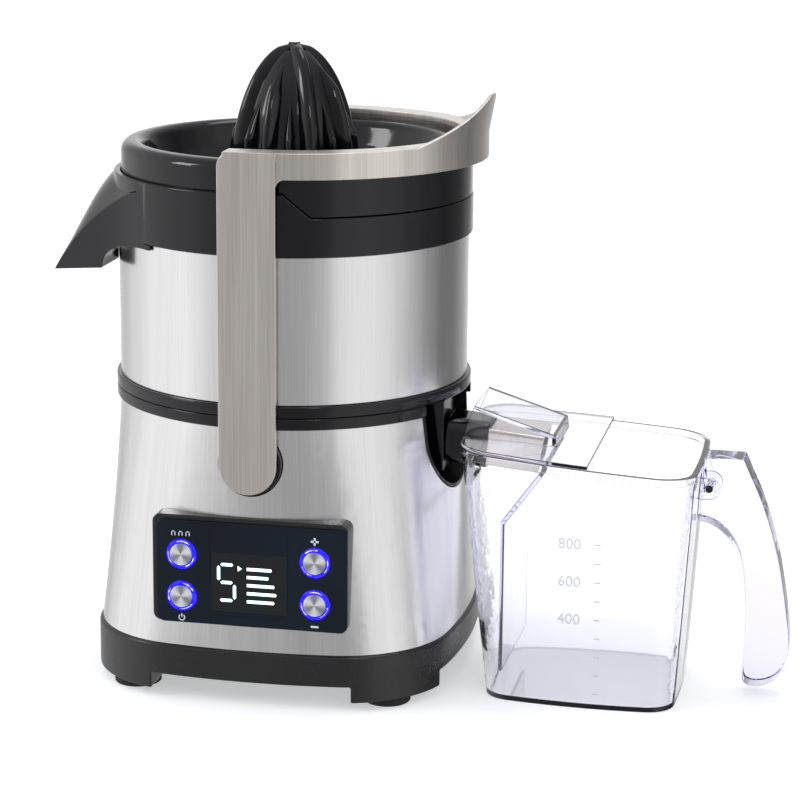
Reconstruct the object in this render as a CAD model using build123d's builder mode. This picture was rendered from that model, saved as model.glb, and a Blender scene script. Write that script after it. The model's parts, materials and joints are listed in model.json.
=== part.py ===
"""Countertop juicer in its citrus set-up: motor base, juice bowl, citrus press, locking arm and pitcher.

Millimetres. The machine's axis is the Z axis, Z = 0 is the worktop, the control panel faces -Y and
the juice outlet and its pitcher are on the +X side.
"""
from build123d import *
from math import acos, cos, pi, radians, sin, tan
import os

os.makedirs("parts", exist_ok=True)

# ---------------------------------------------------------------- driving dimensions
BAND_R = 100.0  # outside radius of the double black band
SLEEVE_R = 97.7  # outside radius of the steel round the juice bowl
PAN_HALF_X = 103.5  # base pan, half width
PAN_HALF_Y = 106.0  # base pan, half depth
PAN_BOW = 12.0  # how far each side of the pan bows outwards
PAN_CORNER_R = 60.0
FOOT_H = 5.0
SKIRT_Z = 14.0  # lower edge of the pan between its corner legs
PAN_TOP_Z = 31.5
BAND_Z = 154.0  # lower edge of the double band
BAND_H = 6.5  # height of each of its two halves
BOWL_TOP_Z = 247.0
COLLECTOR_TOP_Z = 268.0  # seam between pulp collector and citrus bowl
COLLECTOR_HIGH_Z = 280.5  # the same seam on the chute side
RIM_Z = 297.0  # top of the citrus bowl's rim
REAMER_TOP_Z = 350.0

# ---------------------------------------------------------------- walls and fits
STEEL_WALL = 1.2
PLASTIC_WALL = 2.5
CLEAR_WALL = 2.5
SEAT_GAP = 0.2  # between pieces that sit in each other and stay still
MOVING_GAP = 0.4  # between pieces that pass each other
RUNNING_FIT = 0.05  # radial clearance of a shaft in its bore


def ring(outer_r, inner_r, z_low, z_high):
    """Disc about the machine's axis, or a ring if inner_r isn't zero."""
    with BuildPart() as piece:
        with BuildSketch(Plane.XY.offset(z_low)):
            Circle(outer_r)
            if inner_r:
                Circle(inner_r, mode=Mode.SUBTRACT)
        extrude(amount=z_high - z_low)
    return piece.part


def box(x_range, y_range, z_range):
    """Box between the two values on each axis."""
    x_low, x_high = x_range
    y_low, y_high = y_range
    z_low, z_high = z_range
    centre = ((x_low + x_high) / 2, (y_low + y_high) / 2)
    with BuildPart() as piece:
        with BuildSketch(Plane.XY.offset(z_low)):
            with Locations(centre):
                Rectangle(x_high - x_low, y_high - y_low)
        extrude(amount=z_high - z_low)
    return piece.part


def posts(places, radius, z_low, z_high):
    """Upright round posts at the given points."""
    with BuildPart() as piece:
        with BuildSketch(Plane.XY.offset(z_low)):
            with Locations(*places):
                Circle(radius)
        extrude(amount=z_high - z_low)
    return piece.part


def turned(points):
    """Solid of revolution about the machine's axis from a closed outline of (radius, height) points."""
    with BuildPart() as piece:
        with BuildSketch(Plane.XZ):
            with BuildLine():
                Polyline(*points, close=True)
            make_face()
        revolve(axis=Axis.Z)
    return piece.part


def side_plate(points, y_low, y_high):
    """Plate with an (x, z) outline of straight edges, between two y values."""
    with BuildPart() as piece:
        with BuildSketch(Plane.XZ.offset(-y_low)):
            with BuildLine():
                Polyline(*points, close=True)
            make_face()
        extrude(amount=y_low - y_high)
    return piece.part


def bowed_outline(corners, middles, corner_r):
    """Four-sided outline: arcs from corner to corner through the side middles, with rounded corners."""
    with BuildSketch() as outline:
        with BuildLine():
            for i in range(4):
                ThreePointArc(corners[i - 1], middles[i], corners[i])
        make_face()
        fillet(outline.vertices(), corner_r)
    return outline.sketch


def bowed_square(half_x, half_y, bow, corner_r):
    """Outline of the pan: a square with bowed sides and large round corners."""
    x = half_x - bow
    y = half_y - bow
    corners = [(x, y), (-x, y), (-x, -y), (x, -y)]
    middles = [(half_x, 0), (0, half_y), (-half_x, 0), (0, -half_y)]
    return bowed_outline(corners, middles, corner_r)


# ================================================================ motor base
FOOT_R = 13.0
FOOT_X = 71.0
FOOT_Y = 76.0
SCREW_R = 1.9
SCREW_HEAD_R = 4.0
PAN_WALL = 3.0
PAN_FLOOR_Z = SKIRT_Z + PAN_WALL
LEG_CLEAR_X = 56.0  # half width of the arch between two legs
LEG_CLEAR_Y = 61.0
COVER_OPENING_R = 64.0
FEET = {
    "front_left": (-FOOT_X, -FOOT_Y),
    "front_right": (FOOT_X, -FOOT_Y),
    "rear_right": (FOOT_X, FOOT_Y),
    "rear_left": (-FOOT_X, FOOT_Y),
}
FOOT_SCREW_TOP_Z = PAN_FLOOR_Z + 4
BOSS_R = 6.0
COVER_R = COVER_OPENING_R + 6
COVER_SCREWS_R = COVER_OPENING_R + 3
COVER_SCREW_TOP_Z = PAN_FLOOR_Z - 0.5
COVER_SCREW_PLACES = [
    (COVER_SCREWS_R * cos(a), COVER_SCREWS_R * sin(a)) for a in (0, pi / 2, pi, 3 * pi / 2)
]

with BuildPart() as base_pan:
    with BuildSketch(Plane.XY.offset(FOOT_H)):
        add(bowed_square(PAN_HALF_X, PAN_HALF_Y, PAN_BOW, PAN_CORNER_R))
    extrude(amount=PAN_TOP_Z - FOOT_H)
    chamfer(base_pan.faces().sort_by(Axis.Z)[-1].edges(), 1.2)
    with BuildSketch(Plane.XY.offset(PAN_FLOOR_Z)):
        add(bowed_square(PAN_HALF_X - PAN_WALL, PAN_HALF_Y - PAN_WALL, PAN_BOW, PAN_CORNER_R - PAN_WALL))
    extrude(amount=PAN_TOP_Z, mode=Mode.SUBTRACT)
    add(box((-LEG_CLEAR_X, LEG_CLEAR_X), (-PAN_HALF_Y, PAN_HALF_Y), (0, SKIRT_Z)), mode=Mode.SUBTRACT)
    add(box((-PAN_HALF_X, PAN_HALF_X), (-LEG_CLEAR_Y, LEG_CLEAR_Y), (0, SKIRT_Z)), mode=Mode.SUBTRACT)
    add(ring(COVER_OPENING_R, 0, 0, PAN_TOP_Z), mode=Mode.SUBTRACT)
    add(posts(FEET.values(), BOSS_R, PAN_FLOOR_Z, FOOT_SCREW_TOP_Z + 2))
    add(posts(FEET.values(), SCREW_R + RUNNING_FIT, 0, FOOT_SCREW_TOP_Z), mode=Mode.SUBTRACT)
    add(posts(COVER_SCREW_PLACES, SCREW_R + RUNNING_FIT, SKIRT_Z, COVER_SCREW_TOP_Z), mode=Mode.SUBTRACT)
base_pan.part.label = "base_pan"
export_step(base_pan.part, "parts/base_pan.step")

FOOT_RECESS_H = 2.6
for place, (x, y) in FEET.items():
    with BuildPart() as foot:
        with BuildSketch():
            with Locations((x, y)):
                Circle(FOOT_R)
        extrude(amount=FOOT_H)
        chamfer(foot.faces().sort_by(Axis.Z)[0].edges(), 0.8)
        add(posts([(x, y)], SCREW_HEAD_R + SEAT_GAP, 0, FOOT_RECESS_H), mode=Mode.SUBTRACT)
        add(posts([(x, y)], SCREW_R + RUNNING_FIT, 0, FOOT_H), mode=Mode.SUBTRACT)
    foot.part.label = f"foot_{place}"
    export_step(foot.part, f"parts/foot_{place}.step")

SCREW_HEAD_H = 1.8
COVER_HEAD_R = 2.9
COVER_T = 2.0
COVER_LOW_Z = SKIRT_Z - COVER_T
with BuildPart() as base_screws:
    add(posts(FEET.values(), SCREW_HEAD_R, FOOT_RECESS_H - SCREW_HEAD_H, FOOT_RECESS_H))
    add(posts(FEET.values(), SCREW_R, FOOT_RECESS_H, FOOT_SCREW_TOP_Z))
    add(posts(COVER_SCREW_PLACES, COVER_HEAD_R, COVER_LOW_Z - SCREW_HEAD_H, COVER_LOW_Z))
    add(posts(COVER_SCREW_PLACES, SCREW_R, COVER_LOW_Z, COVER_SCREW_TOP_Z))
base_screws.part.label = "base_screws"
export_step(base_screws.part, "parts/base_screws.step")

# Shallow dish with air slots that closes the pan from below.
COVER_Z = 6.0
COVER_FLAT_R = COVER_OPENING_R - 18
with BuildPart() as bottom_cover:
    add(turned([(0, COVER_Z), (COVER_FLAT_R, COVER_Z), (COVER_R - 6, COVER_LOW_Z), (COVER_R, COVER_LOW_Z),
                (COVER_R, SKIRT_Z), (COVER_R - 7, SKIRT_Z), (COVER_FLAT_R - 1, COVER_Z + COVER_T),
                (0, COVER_Z + COVER_T)]))
    with BuildSketch(Plane.XY):
        with PolarLocations(30, 24):
            SlotOverall(22, 3)
    extrude(amount=SKIRT_Z, mode=Mode.SUBTRACT)
    add(posts(COVER_SCREW_PLACES, SCREW_R + RUNNING_FIT, 0, SKIRT_Z), mode=Mode.SUBTRACT)
bottom_cover.part.label = "bottom_cover"
export_step(bottom_cover.part, "parts/bottom_cover.step")

# ---------------------------------------------------------------- steel shell
SHELL_INSET = 1.5  # the steel stands this far inside the pan's edge
OUTLET_Y = -18.0  # the outlet and the pitcher are this far off the machine's axis
NOTCH_HALF = 32.0  # half width of the U-shaped notch for the outlet
NOTCH_LOW_Z = 108.0
DECK_TOP_Z = BAND_Z + BAND_H
HUB_R = 17.5
PIVOT_Z = 135.0
PANEL_X = (-51.0, 55.0)
PANEL_Z = (45.5, 103.0)
PANEL_INSET = 3.0  # the panel box is this much smaller than its front all round
PANEL_FACE_Y = -104.5
LENS_T = 1.2
BEZEL_EDGE = 2.5  # the frame shows past the lens at the left and the top
INLET_Z = 52.0
INLET_R = 8.0


def body_solid(inset, z_low=PAN_TOP_Z, z_high=BAND_Z):
    """The base's volume: square with bowed sides at the pan, round at the band."""
    low = bowed_square(
        PAN_HALF_X - SHELL_INSET - inset, PAN_HALF_Y - SHELL_INSET - inset, PAN_BOW, PAN_CORNER_R - inset
    )
    with BuildPart() as piece:
        with BuildSketch(Plane.XY.offset(PAN_TOP_Z)):
            add(low)
        with BuildSketch(Plane.XY.offset(BAND_Z)):
            Circle(SLEEVE_R - inset)
        loft(ruled=True)
        add(ring(BAND_R * 2, 0, z_low, z_high), mode=Mode.INTERSECT)
    return piece.part


def notch(half, low_z, x_range):
    """U-shaped prism along X for the outlet, open at the top."""
    with BuildPart() as piece:
        with BuildSketch(Plane.YZ.offset(x_range[0])):
            with Locations((OUTLET_Y, low_z + half)):
                Circle(half)
            with Locations((OUTLET_Y, (low_z + half + DECK_TOP_Z) / 2)):
                Rectangle(2 * half, DECK_TOP_Z - low_z - half)
        extrude(amount=x_range[1] - x_range[0])
    return piece.part


def across(radius, y_range, x, z):
    """Round bar along Y."""
    with BuildPart() as piece:
        with BuildSketch(Plane.XZ.offset(-y_range[0])):
            with Locations((x, z)):
                Circle(radius)
        extrude(amount=y_range[0] - y_range[1])
    return piece.part


with BuildPart() as body_shell:
    add(body_solid(0))
    add(body_solid(STEEL_WALL), mode=Mode.SUBTRACT)
    add(notch(NOTCH_HALF, NOTCH_LOW_Z, (60, BAND_R + 10)), mode=Mode.SUBTRACT)
    add(across(HUB_R + SEAT_GAP, (-PAN_HALF_Y, PAN_HALF_Y), 0, PIVOT_Z), mode=Mode.SUBTRACT)
    add(across(INLET_R + SEAT_GAP, (0, PAN_HALF_Y), 0, INLET_Z), mode=Mode.SUBTRACT)
    add(box((PANEL_X[0] + PANEL_INSET - SEAT_GAP, PANEL_X[1] - PANEL_INSET + SEAT_GAP), (-PAN_HALF_Y, 0),
            (PANEL_Z[0] + PANEL_INSET - SEAT_GAP, PANEL_Z[1] - PANEL_INSET + SEAT_GAP)), mode=Mode.SUBTRACT)
    add(box((PANEL_X[0] - BEZEL_EDGE, PANEL_X[1]), (-PAN_HALF_Y, PANEL_FACE_Y + LENS_T + SEAT_GAP),
            (PANEL_Z[0], PANEL_Z[1] + BEZEL_EDGE)), mode=Mode.SUBTRACT)
body_shell.part.label = "body_shell"
export_step(body_shell.part, "parts/body_shell.step")

RECESS_X = 72.0  # back wall of the outlet recess
with BuildPart() as outlet_recess:
    add(notch(NOTCH_HALF - SEAT_GAP, NOTCH_LOW_Z + SEAT_GAP, (RECESS_X, BAND_R)))
    inner_half = NOTCH_HALF - SEAT_GAP - 2
    add(notch(inner_half, NOTCH_LOW_Z + SEAT_GAP + 2, (RECESS_X + 2, BAND_R)), mode=Mode.SUBTRACT)
    add(body_solid(0, NOTCH_LOW_Z, BAND_Z), mode=Mode.INTERSECT)
outlet_recess.part.label = "outlet_recess"
export_step(outlet_recess.part, "parts/outlet_recess.step")

with BuildPart() as cord_inlet:
    add(across(INLET_R, (96, PAN_HALF_Y - 0.5), 0, INLET_Z))
    add(across(4, (90, PAN_HALF_Y), 0, INLET_Z), mode=Mode.SUBTRACT)
cord_inlet.part.label = "cord_inlet"
export_step(cord_inlet.part, "parts/cord_inlet.step")

# ---------------------------------------------------------------- deck and lower band
SHAFT_R = 5.0
DECK_WALL = 3.0
SEAL_R = 12.0
POST_R = 6.0
POST_PLACES = [(x, y) for x in (-52, 52) for y in (-58, 58)]
with BuildPart() as top_deck:
    add(ring(BAND_R, 0, BAND_Z, DECK_TOP_Z))
    add(ring(SLEEVE_R - 5, SEAL_R + 3, BAND_Z + DECK_WALL, DECK_TOP_Z), mode=Mode.SUBTRACT)
    add(ring(SEAL_R, 0, BAND_Z, DECK_TOP_Z), mode=Mode.SUBTRACT)
    add(notch(NOTCH_HALF, NOTCH_LOW_Z, (RECESS_X, BAND_R + 10)), mode=Mode.SUBTRACT)
top_deck.part.label = "top_deck"
export_step(top_deck.part, "parts/top_deck.step")

# ---------------------------------------------------------------- chassis and motor
CHASSIS_Z = 34.0
CHASSIS_TOP_Z = 37.0
MOTOR_R = 46.0
ROTOR_R = 27.0
BEARING_R = 13.0
MOUNT_H = 12.0
BRACKET_Z = CHASSIS_TOP_Z + MOUNT_H
STATOR_Z = BRACKET_Z + 3
STATOR_H = 55.0
STATOR_TOP_Z = STATOR_Z + STATOR_H
FAN_Z = STATOR_TOP_Z + 20
SHAFT_LOW_Z = 40.0
SHAFT_TOP_Z = DECK_TOP_Z + 8
MOUNT_PLACES = [(x, y) for x in (-27, 27) for y in (-27, 27)]

with BuildPart() as chassis:
    add(ring(82, 22, CHASSIS_Z, CHASSIS_TOP_Z))
    add(posts(POST_PLACES, POST_R, CHASSIS_TOP_Z, BAND_Z))
    add(posts(POST_PLACES, POST_R + 2, PAN_FLOOR_Z, CHASSIS_Z))
chassis.part.label = "chassis"
export_step(chassis.part, "parts/chassis.step")

with BuildPart() as motor_mounts:
    add(posts(MOUNT_PLACES, 7, CHASSIS_TOP_Z, BRACKET_Z))
motor_mounts.part.label = "motor_mounts"
export_step(motor_mounts.part, "parts/motor_mounts.step")

with BuildPart() as motor_bracket_lower:
    add(ring(MOTOR_R + 2, BEARING_R, BRACKET_Z, STATOR_Z))
    add(ring(BEARING_R + 3, BEARING_R, BRACKET_Z - 6, BRACKET_Z))
motor_bracket_lower.part.label = "motor_bracket_lower"
export_step(motor_bracket_lower.part, "parts/motor_bracket_lower.step")

with BuildPart() as motor_bracket_upper:
    add(ring(MOTOR_R + 2, BEARING_R, STATOR_TOP_Z, STATOR_TOP_Z + 3))
    add(ring(BEARING_R + 3, BEARING_R, STATOR_TOP_Z + 3, STATOR_TOP_Z + 12))
motor_bracket_upper.part.label = "motor_bracket_upper"
export_step(motor_bracket_upper.part, "parts/motor_bracket_upper.step")

with BuildPart() as motor_stator:
    add(ring(MOTOR_R, ROTOR_R + MOVING_GAP, STATOR_Z, STATOR_TOP_Z))
    with BuildSketch(Plane.XY.offset(STATOR_Z)):
        with PolarLocations(MOTOR_R - 9, 12):
            SlotOverall(11, 4)
    extrude(amount=STATOR_H, mode=Mode.SUBTRACT)
motor_stator.part.label = "motor_stator"
export_step(motor_stator.part, "parts/motor_stator.step")

BEARING_SPANS = {
    "lower_bearing": (BRACKET_Z - 6, STATOR_Z - 1),
    "upper_bearing": (STATOR_TOP_Z + 3, STATOR_TOP_Z + 11),
}
for label, (z_low, z_high) in BEARING_SPANS.items():
    with BuildPart() as bearing:
        add(ring(BEARING_R, SHAFT_R + RUNNING_FIT, z_low, z_high))
        add(ring(BEARING_R - 3, SHAFT_R + 2, z_low, z_low + 1), mode=Mode.SUBTRACT)
        add(ring(BEARING_R - 3, SHAFT_R + 2, z_high - 1, z_high), mode=Mode.SUBTRACT)
    bearing.part.label = label
    export_step(bearing.part, f"parts/{label}.step")

with BuildPart() as motor_rotor:
    add(ring(ROTOR_R, SHAFT_R, STATOR_Z + 3, STATOR_TOP_Z - 3))
    with BuildSketch(Plane.XY.offset(STATOR_Z)):
        with PolarLocations(ROTOR_R, 12):
            Rectangle(4, 2.4)
    extrude(amount=STATOR_H, mode=Mode.SUBTRACT)
motor_rotor.part.label = "motor_rotor"
export_step(motor_rotor.part, "parts/motor_rotor.step")

with BuildPart() as motor_shaft:
    add(ring(SHAFT_R, 0, SHAFT_LOW_Z, SHAFT_TOP_Z))
motor_shaft.part.label = "motor_shaft"
export_step(motor_shaft.part, "parts/motor_shaft.step")

with BuildPart() as cooling_fan:
    add(ring(10, SHAFT_R, FAN_Z, FAN_Z + 12))
    add(ring(34, SHAFT_R, FAN_Z, FAN_Z + 1.5))
    with BuildSketch(Plane.XY.offset(FAN_Z)):
        with PolarLocations(21.5, 9):
            Rectangle(25, 1.6)
    extrude(amount=10)
cooling_fan.part.label = "cooling_fan"
export_step(cooling_fan.part, "parts/cooling_fan.step")

with BuildPart() as shaft_seal:
    add(ring(SEAL_R, SHAFT_R + RUNNING_FIT, BAND_Z, BAND_Z + 5))
shaft_seal.part.label = "shaft_seal"
export_step(shaft_seal.part, "parts/shaft_seal.step")

# ---------------------------------------------------------------- control panel and electronics
BUTTON_R = 6.2
BUTTON_TRAVEL = 1.5
LIGHT_IN_R = BUTTON_R + MOVING_GAP
LIGHT_OUT_R = 8.3
STEM_R = 2.4
BOARD_Y = -88.0
BOARD_T = 1.6
SWITCH_H = 1.9
HOUSING_BACK_Y = BOARD_Y - 2
LIGHT_BACK_Y = -97.0
LIGHT_FACE_Y = PANEL_FACE_Y - 0.4
CAP_FACE_Y = PANEL_FACE_Y - 1.4
DISPLAY_BACK_Y = -95.0
GLASS_RECESS = 0.5
GLASS_MARGIN = 3.0
BUTTONS = {
    "pulse": (-37.0, 84.0),
    "power": (-37.0, 60.5),
    "plus": (37.0, 84.0),
    "minus": (37.0, 60.5),
}
WINDOW_W = 35.0
WINDOW_H = 27.0
WINDOW_X = 0.5
WINDOW_Z = 69.5


def window(margin, y_range):
    """Block of the display window, made larger by a margin all round."""
    half_w = WINDOW_W / 2 + margin
    half_h = WINDOW_H / 2 + margin
    return box((WINDOW_X - half_w, WINDOW_X + half_w), y_range, (WINDOW_Z - half_h, WINDOW_Z + half_h))


def front_plate(x_range, z_range, y_range, corner_r):
    """Plate with round corners that faces the front."""
    with BuildPart() as piece:
        with BuildSketch(Plane.XZ.offset(-y_range[0])):
            with Locations(((x_range[0] + x_range[1]) / 2, (z_range[0] + z_range[1]) / 2)):
                RectangleRounded(x_range[1] - x_range[0], z_range[1] - z_range[0], corner_r)
        extrude(amount=y_range[0] - y_range[1])
    return piece.part


with BuildPart() as panel_housing:
    add(front_plate((PANEL_X[0] - BEZEL_EDGE, PANEL_X[1]), (PANEL_Z[0], PANEL_Z[1] + BEZEL_EDGE),
                    (PANEL_FACE_Y + LENS_T, HOUSING_BACK_Y), 4.5))
    add(body_solid(-0.1), mode=Mode.SUBTRACT)
    add(box((PANEL_X[0] + PANEL_INSET, PANEL_X[1] - PANEL_INSET), (PANEL_FACE_Y + LENS_T, HOUSING_BACK_Y),
            (PANEL_Z[0] + PANEL_INSET, PANEL_Z[1] - PANEL_INSET)))
    for x, z in BUTTONS.values():
        add(across(LIGHT_OUT_R + SEAT_GAP, (PANEL_FACE_Y, LIGHT_BACK_Y), x, z), mode=Mode.SUBTRACT)
        add(across(STEM_R + RUNNING_FIT, (PANEL_FACE_Y, BOARD_Y), x, z), mode=Mode.SUBTRACT)
    add(window(SEAT_GAP, (PANEL_FACE_Y, DISPLAY_BACK_Y)), mode=Mode.SUBTRACT)
panel_housing.part.label = "panel_housing"
export_step(panel_housing.part, "parts/panel_housing.step")

with BuildPart() as panel_lens:
    add(front_plate(PANEL_X, PANEL_Z, (PANEL_FACE_Y, PANEL_FACE_Y + LENS_T), 4.5))
    for x, z in BUTTONS.values():
        add(across(LIGHT_OUT_R + SEAT_GAP, (CAP_FACE_Y, LIGHT_BACK_Y), x, z), mode=Mode.SUBTRACT)
    add(window(GLASS_MARGIN, (PANEL_FACE_Y, PANEL_FACE_Y + GLASS_RECESS)), mode=Mode.SUBTRACT)
panel_lens.part.label = "panel_lens"
export_step(panel_lens.part, "parts/panel_lens.step")

with BuildPart() as display_module:
    add(window(0, (PANEL_FACE_Y + LENS_T, DISPLAY_BACK_Y)))
display_module.part.label = "display_module"
export_step(display_module.part, "parts/display_module.step")

with BuildPart() as light_rings:
    for x, z in BUTTONS.values():
        add(across(LIGHT_OUT_R, (LIGHT_FACE_Y, LIGHT_BACK_Y), x, z))
        add(across(LIGHT_IN_R, (CAP_FACE_Y, LIGHT_BACK_Y), x, z), mode=Mode.SUBTRACT)
light_rings.part.label = "light_rings"
export_step(light_rings.part, "parts/light_rings.step")

for label, (x, z) in BUTTONS.items():
    with BuildPart() as button:
        cap_back_y = LIGHT_BACK_Y - BUTTON_TRAVEL - MOVING_GAP
        add(across(BUTTON_R, (CAP_FACE_Y, cap_back_y), x, z))
        chamfer(button.faces().sort_by(Axis.Y)[0].edges(), 0.5)
        add(across(STEM_R, (cap_back_y - 1, BOARD_Y - SWITCH_H - BUTTON_TRAVEL - MOVING_GAP), x, z))
    button.part.label = f"button_{label}"
    export_step(button.part, f"parts/button_{label}.step")

with BuildPart() as control_board:
    add(box((PANEL_X[0] + 6, PANEL_X[1] - 6), (BOARD_Y, BOARD_Y + BOARD_T), (PANEL_Z[0] + 4, PANEL_Z[1] - 4)))
    for x, z in BUTTONS.values():
        add(box((x - 3, x + 3), (BOARD_Y - SWITCH_H, BOARD_Y), (z - 3, z + 3)))
control_board.part.label = "control_board"
export_step(control_board.part, "parts/control_board.step")

POWER_BOARD_Y = 76.0
POWER_HALF_X = 35.0
CAPACITOR_R = 8.0
with BuildPart() as power_board:
    add(box((-POWER_HALF_X, POWER_HALF_X), (POWER_BOARD_Y, POWER_BOARD_Y + BOARD_T), (CHASSIS_TOP_Z + 4, 110)))
    add(box((-25, -5), (POWER_BOARD_Y - 18, POWER_BOARD_Y), (60, 85)))
    add(across(CAPACITOR_R, (POWER_BOARD_Y - 20, POWER_BOARD_Y), 15, 70))
    add(box((-POWER_HALF_X, POWER_HALF_X), (POWER_BOARD_Y - 6, POWER_BOARD_Y), (CHASSIS_TOP_Z, CHASSIS_TOP_Z + 8)))
power_board.part.label = "power_board"
export_step(power_board.part, "parts/power_board.step")

# ================================================================ juice bowl
BOWL_FOOT_Z = DECK_TOP_Z
SLEEVE_Z = BOWL_FOOT_Z + BAND_H
BOWL_R = SLEEVE_R - STEEL_WALL - SEAT_GAP
BOWL_IN_R = BOWL_R - PLASTIC_WALL
BOWL_FLOOR_Z = SLEEVE_Z - 1
COLLAR_R = 15.0
COLLAR_BORE_R = 11.0
COLLAR_TOP_Z = 236.0
DRIVE_R = 4.0
SPOUT_X = (RECESS_X + 5, 93.0)
SPOUT_HALF_Y = 17.0
SPOUT_LOW_Z = 120.0

# The outlet passage slopes down and away from the bowl.
OUTLET_SLOPE = 5.0
OUTLET_Z = 137.0
CHUTE_W = 28.0
CHUTE_H = 20.0
outlet_plane = Plane(
    origin=(SPOUT_X[1], OUTLET_Y, OUTLET_Z),
    x_dir=(0, 1, 0),
    z_dir=(cos(radians(OUTLET_SLOPE)), 0, -sin(radians(OUTLET_SLOPE))),
)


def outlet_bar(width, height, start, end, corner_r):
    """Rounded bar along the outlet's axis between two distances from the spout."""
    with BuildPart() as piece:
        with BuildSketch(outlet_plane.offset(start)):
            RectangleRounded(width, height, corner_r)
        extrude(amount=end - start)
    return piece.part


with BuildPart() as juice_bowl:
    add(turned([(COLLAR_BORE_R, BOWL_FOOT_Z), (BAND_R, BOWL_FOOT_Z), (BAND_R, SLEEVE_Z), (BOWL_R, SLEEVE_Z),
                (BOWL_R, BOWL_TOP_Z - 2), (BOWL_IN_R, BOWL_TOP_Z - 2), (BOWL_IN_R, BOWL_FLOOR_Z),
                (COLLAR_R, BOWL_FLOOR_Z), (COLLAR_R, COLLAR_TOP_Z), (COLLAR_BORE_R, COLLAR_TOP_Z)]))
    add(box(SPOUT_X, (OUTLET_Y - SPOUT_HALF_Y, OUTLET_Y + SPOUT_HALF_Y), (SPOUT_LOW_Z, BOWL_FOOT_Z + 1)))
    add(box((SPOUT_X[0] + PLASTIC_WALL, SPOUT_X[1] - PLASTIC_WALL),
            (OUTLET_Y - SPOUT_HALF_Y + PLASTIC_WALL, OUTLET_Y + SPOUT_HALF_Y - PLASTIC_WALL),
            (SPOUT_LOW_Z + PLASTIC_WALL, BOWL_FLOOR_Z + 1)), mode=Mode.SUBTRACT)
    add(outlet_bar(CHUTE_W - 6, CHUTE_H - 6, -6, 6, 3), mode=Mode.SUBTRACT)
juice_bowl.part.label = "juice_bowl"
export_step(juice_bowl.part, "parts/juice_bowl.step")

with BuildPart() as bowl_sleeve:
    add(ring(SLEEVE_R, SLEEVE_R - STEEL_WALL, SLEEVE_Z, BOWL_TOP_Z))
bowl_sleeve.part.label = "bowl_sleeve"
export_step(bowl_sleeve.part, "parts/bowl_sleeve.step")

with BuildPart() as bowl_seal:
    add(ring(BOWL_R, BOWL_IN_R, BOWL_TOP_Z - 2, BOWL_TOP_Z))
bowl_seal.part.label = "bowl_seal"
export_step(bowl_seal.part, "parts/bowl_seal.step")

with BuildPart() as bowl_bush:
    add(ring(COLLAR_BORE_R, DRIVE_R + RUNNING_FIT, COLLAR_TOP_Z - 12, COLLAR_TOP_Z))
bowl_bush.part.label = "bowl_bush"
export_step(bowl_bush.part, "parts/bowl_bush.step")

COUPLING_R = 9.0
COUPLING_Z = DECK_TOP_Z + 0.5
with BuildPart() as drive_coupling:
    with BuildSketch(Plane.XY.offset(COUPLING_Z)):
        RegularPolygon(COUPLING_R - 2, 6)
        Circle(SHAFT_R, mode=Mode.SUBTRACT)
    extrude(amount=SHAFT_TOP_Z - COUPLING_Z)
drive_coupling.part.label = "drive_coupling"
export_step(drive_coupling.part, "parts/drive_coupling.step")

with BuildPart() as outlet_tube:
    add(outlet_bar(CHUTE_W + 6, CHUTE_H + 6, 0, 24, 9))
    add(outlet_bar(CHUTE_W - 6, CHUTE_H - 6, -1, 10, 3), mode=Mode.SUBTRACT)
    add(outlet_bar(CHUTE_W + SEAT_GAP, CHUTE_H + SEAT_GAP, 10, 26, 2), mode=Mode.SUBTRACT)
    add(box((0, SPOUT_X[1]), (-BAND_R, BAND_R), (0, BAND_Z)), mode=Mode.SUBTRACT)
outlet_tube.part.label = "outlet_tube"
export_step(outlet_tube.part, "parts/outlet_tube.step")

SPOUT_END = 57.0
with BuildPart() as outlet_spout:
    add(outlet_bar(CHUTE_W, CHUTE_H, 10.2, SPOUT_END, 2))
    add(outlet_bar(CHUTE_W - 2 * STEEL_WALL, CHUTE_H - 2 * STEEL_WALL, 0, SPOUT_END + 1, 1), mode=Mode.SUBTRACT)
    # The end is cut back towards the bottom.
    add(side_plate([(SPOUT_X[1] + SPOUT_END - 9, 100), (SPOUT_X[1] + SPOUT_END - 1, 145),
                    (SPOUT_X[1] + 80, 145), (SPOUT_X[1] + 80, 100)], OUTLET_Y - 20, OUTLET_Y + 20),
        mode=Mode.SUBTRACT)
outlet_spout.part.label = "outlet_spout"
export_step(outlet_spout.part, "parts/outlet_spout.step")

# ================================================================ reduction gears under the citrus bowl
MODULE = 1.0
SUN_TEETH = 12
PLANET_TEETH = 24
RING_TEETH = SUN_TEETH + 2 * PLANET_TEETH
PRESSURE = radians(20)
ADDENDUM = 0.8 * MODULE
DEDENDUM = 1.0 * MODULE
BACKLASH = 0.12
GEAR_H = 8.0
GEAR_Z = 243.0
PLANET_AT = MODULE * (SUN_TEETH + PLANET_TEETH) / 2
PIN_R = 3.0
CASE_R = 37.0
CASE_WALL = 2.5
CASE_Z = GEAR_Z - 4
SUN_SEAT_R = 3.0
GEAR_TOP_Z = GEAR_Z + GEAR_H


def gear_outline(teeth, tip_r, root_r, backlash):
    """Involute tooth outline; a negative backlash gives the space for an internal gear."""
    pitch_r = MODULE * teeth / 2
    base_r = pitch_r * cos(PRESSURE)
    half = pi / (2 * teeth) - backlash / (2 * pitch_r) + tan(PRESSURE) - PRESSURE
    first_r = max(root_r, base_r)
    flank = []
    for step in range(5):
        r = first_r + (tip_r - first_r) * step / 4
        angle = acos(min(1, base_r / r))
        flank.append((r, half - tan(angle) + angle))
    if root_r < first_r:
        flank.insert(0, (root_r, flank[0][1]))
    points = []
    for tooth in range(teeth):
        middle = 2 * pi * tooth / teeth
        points += [(r * cos(middle - a), r * sin(middle - a)) for r, a in flank]
        points += [(r * cos(middle + a), r * sin(middle + a)) for r, a in reversed(flank)]
    with BuildSketch() as outline:
        with BuildLine():
            Polyline(*points, close=True)
        make_face()
    return outline.sketch


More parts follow.
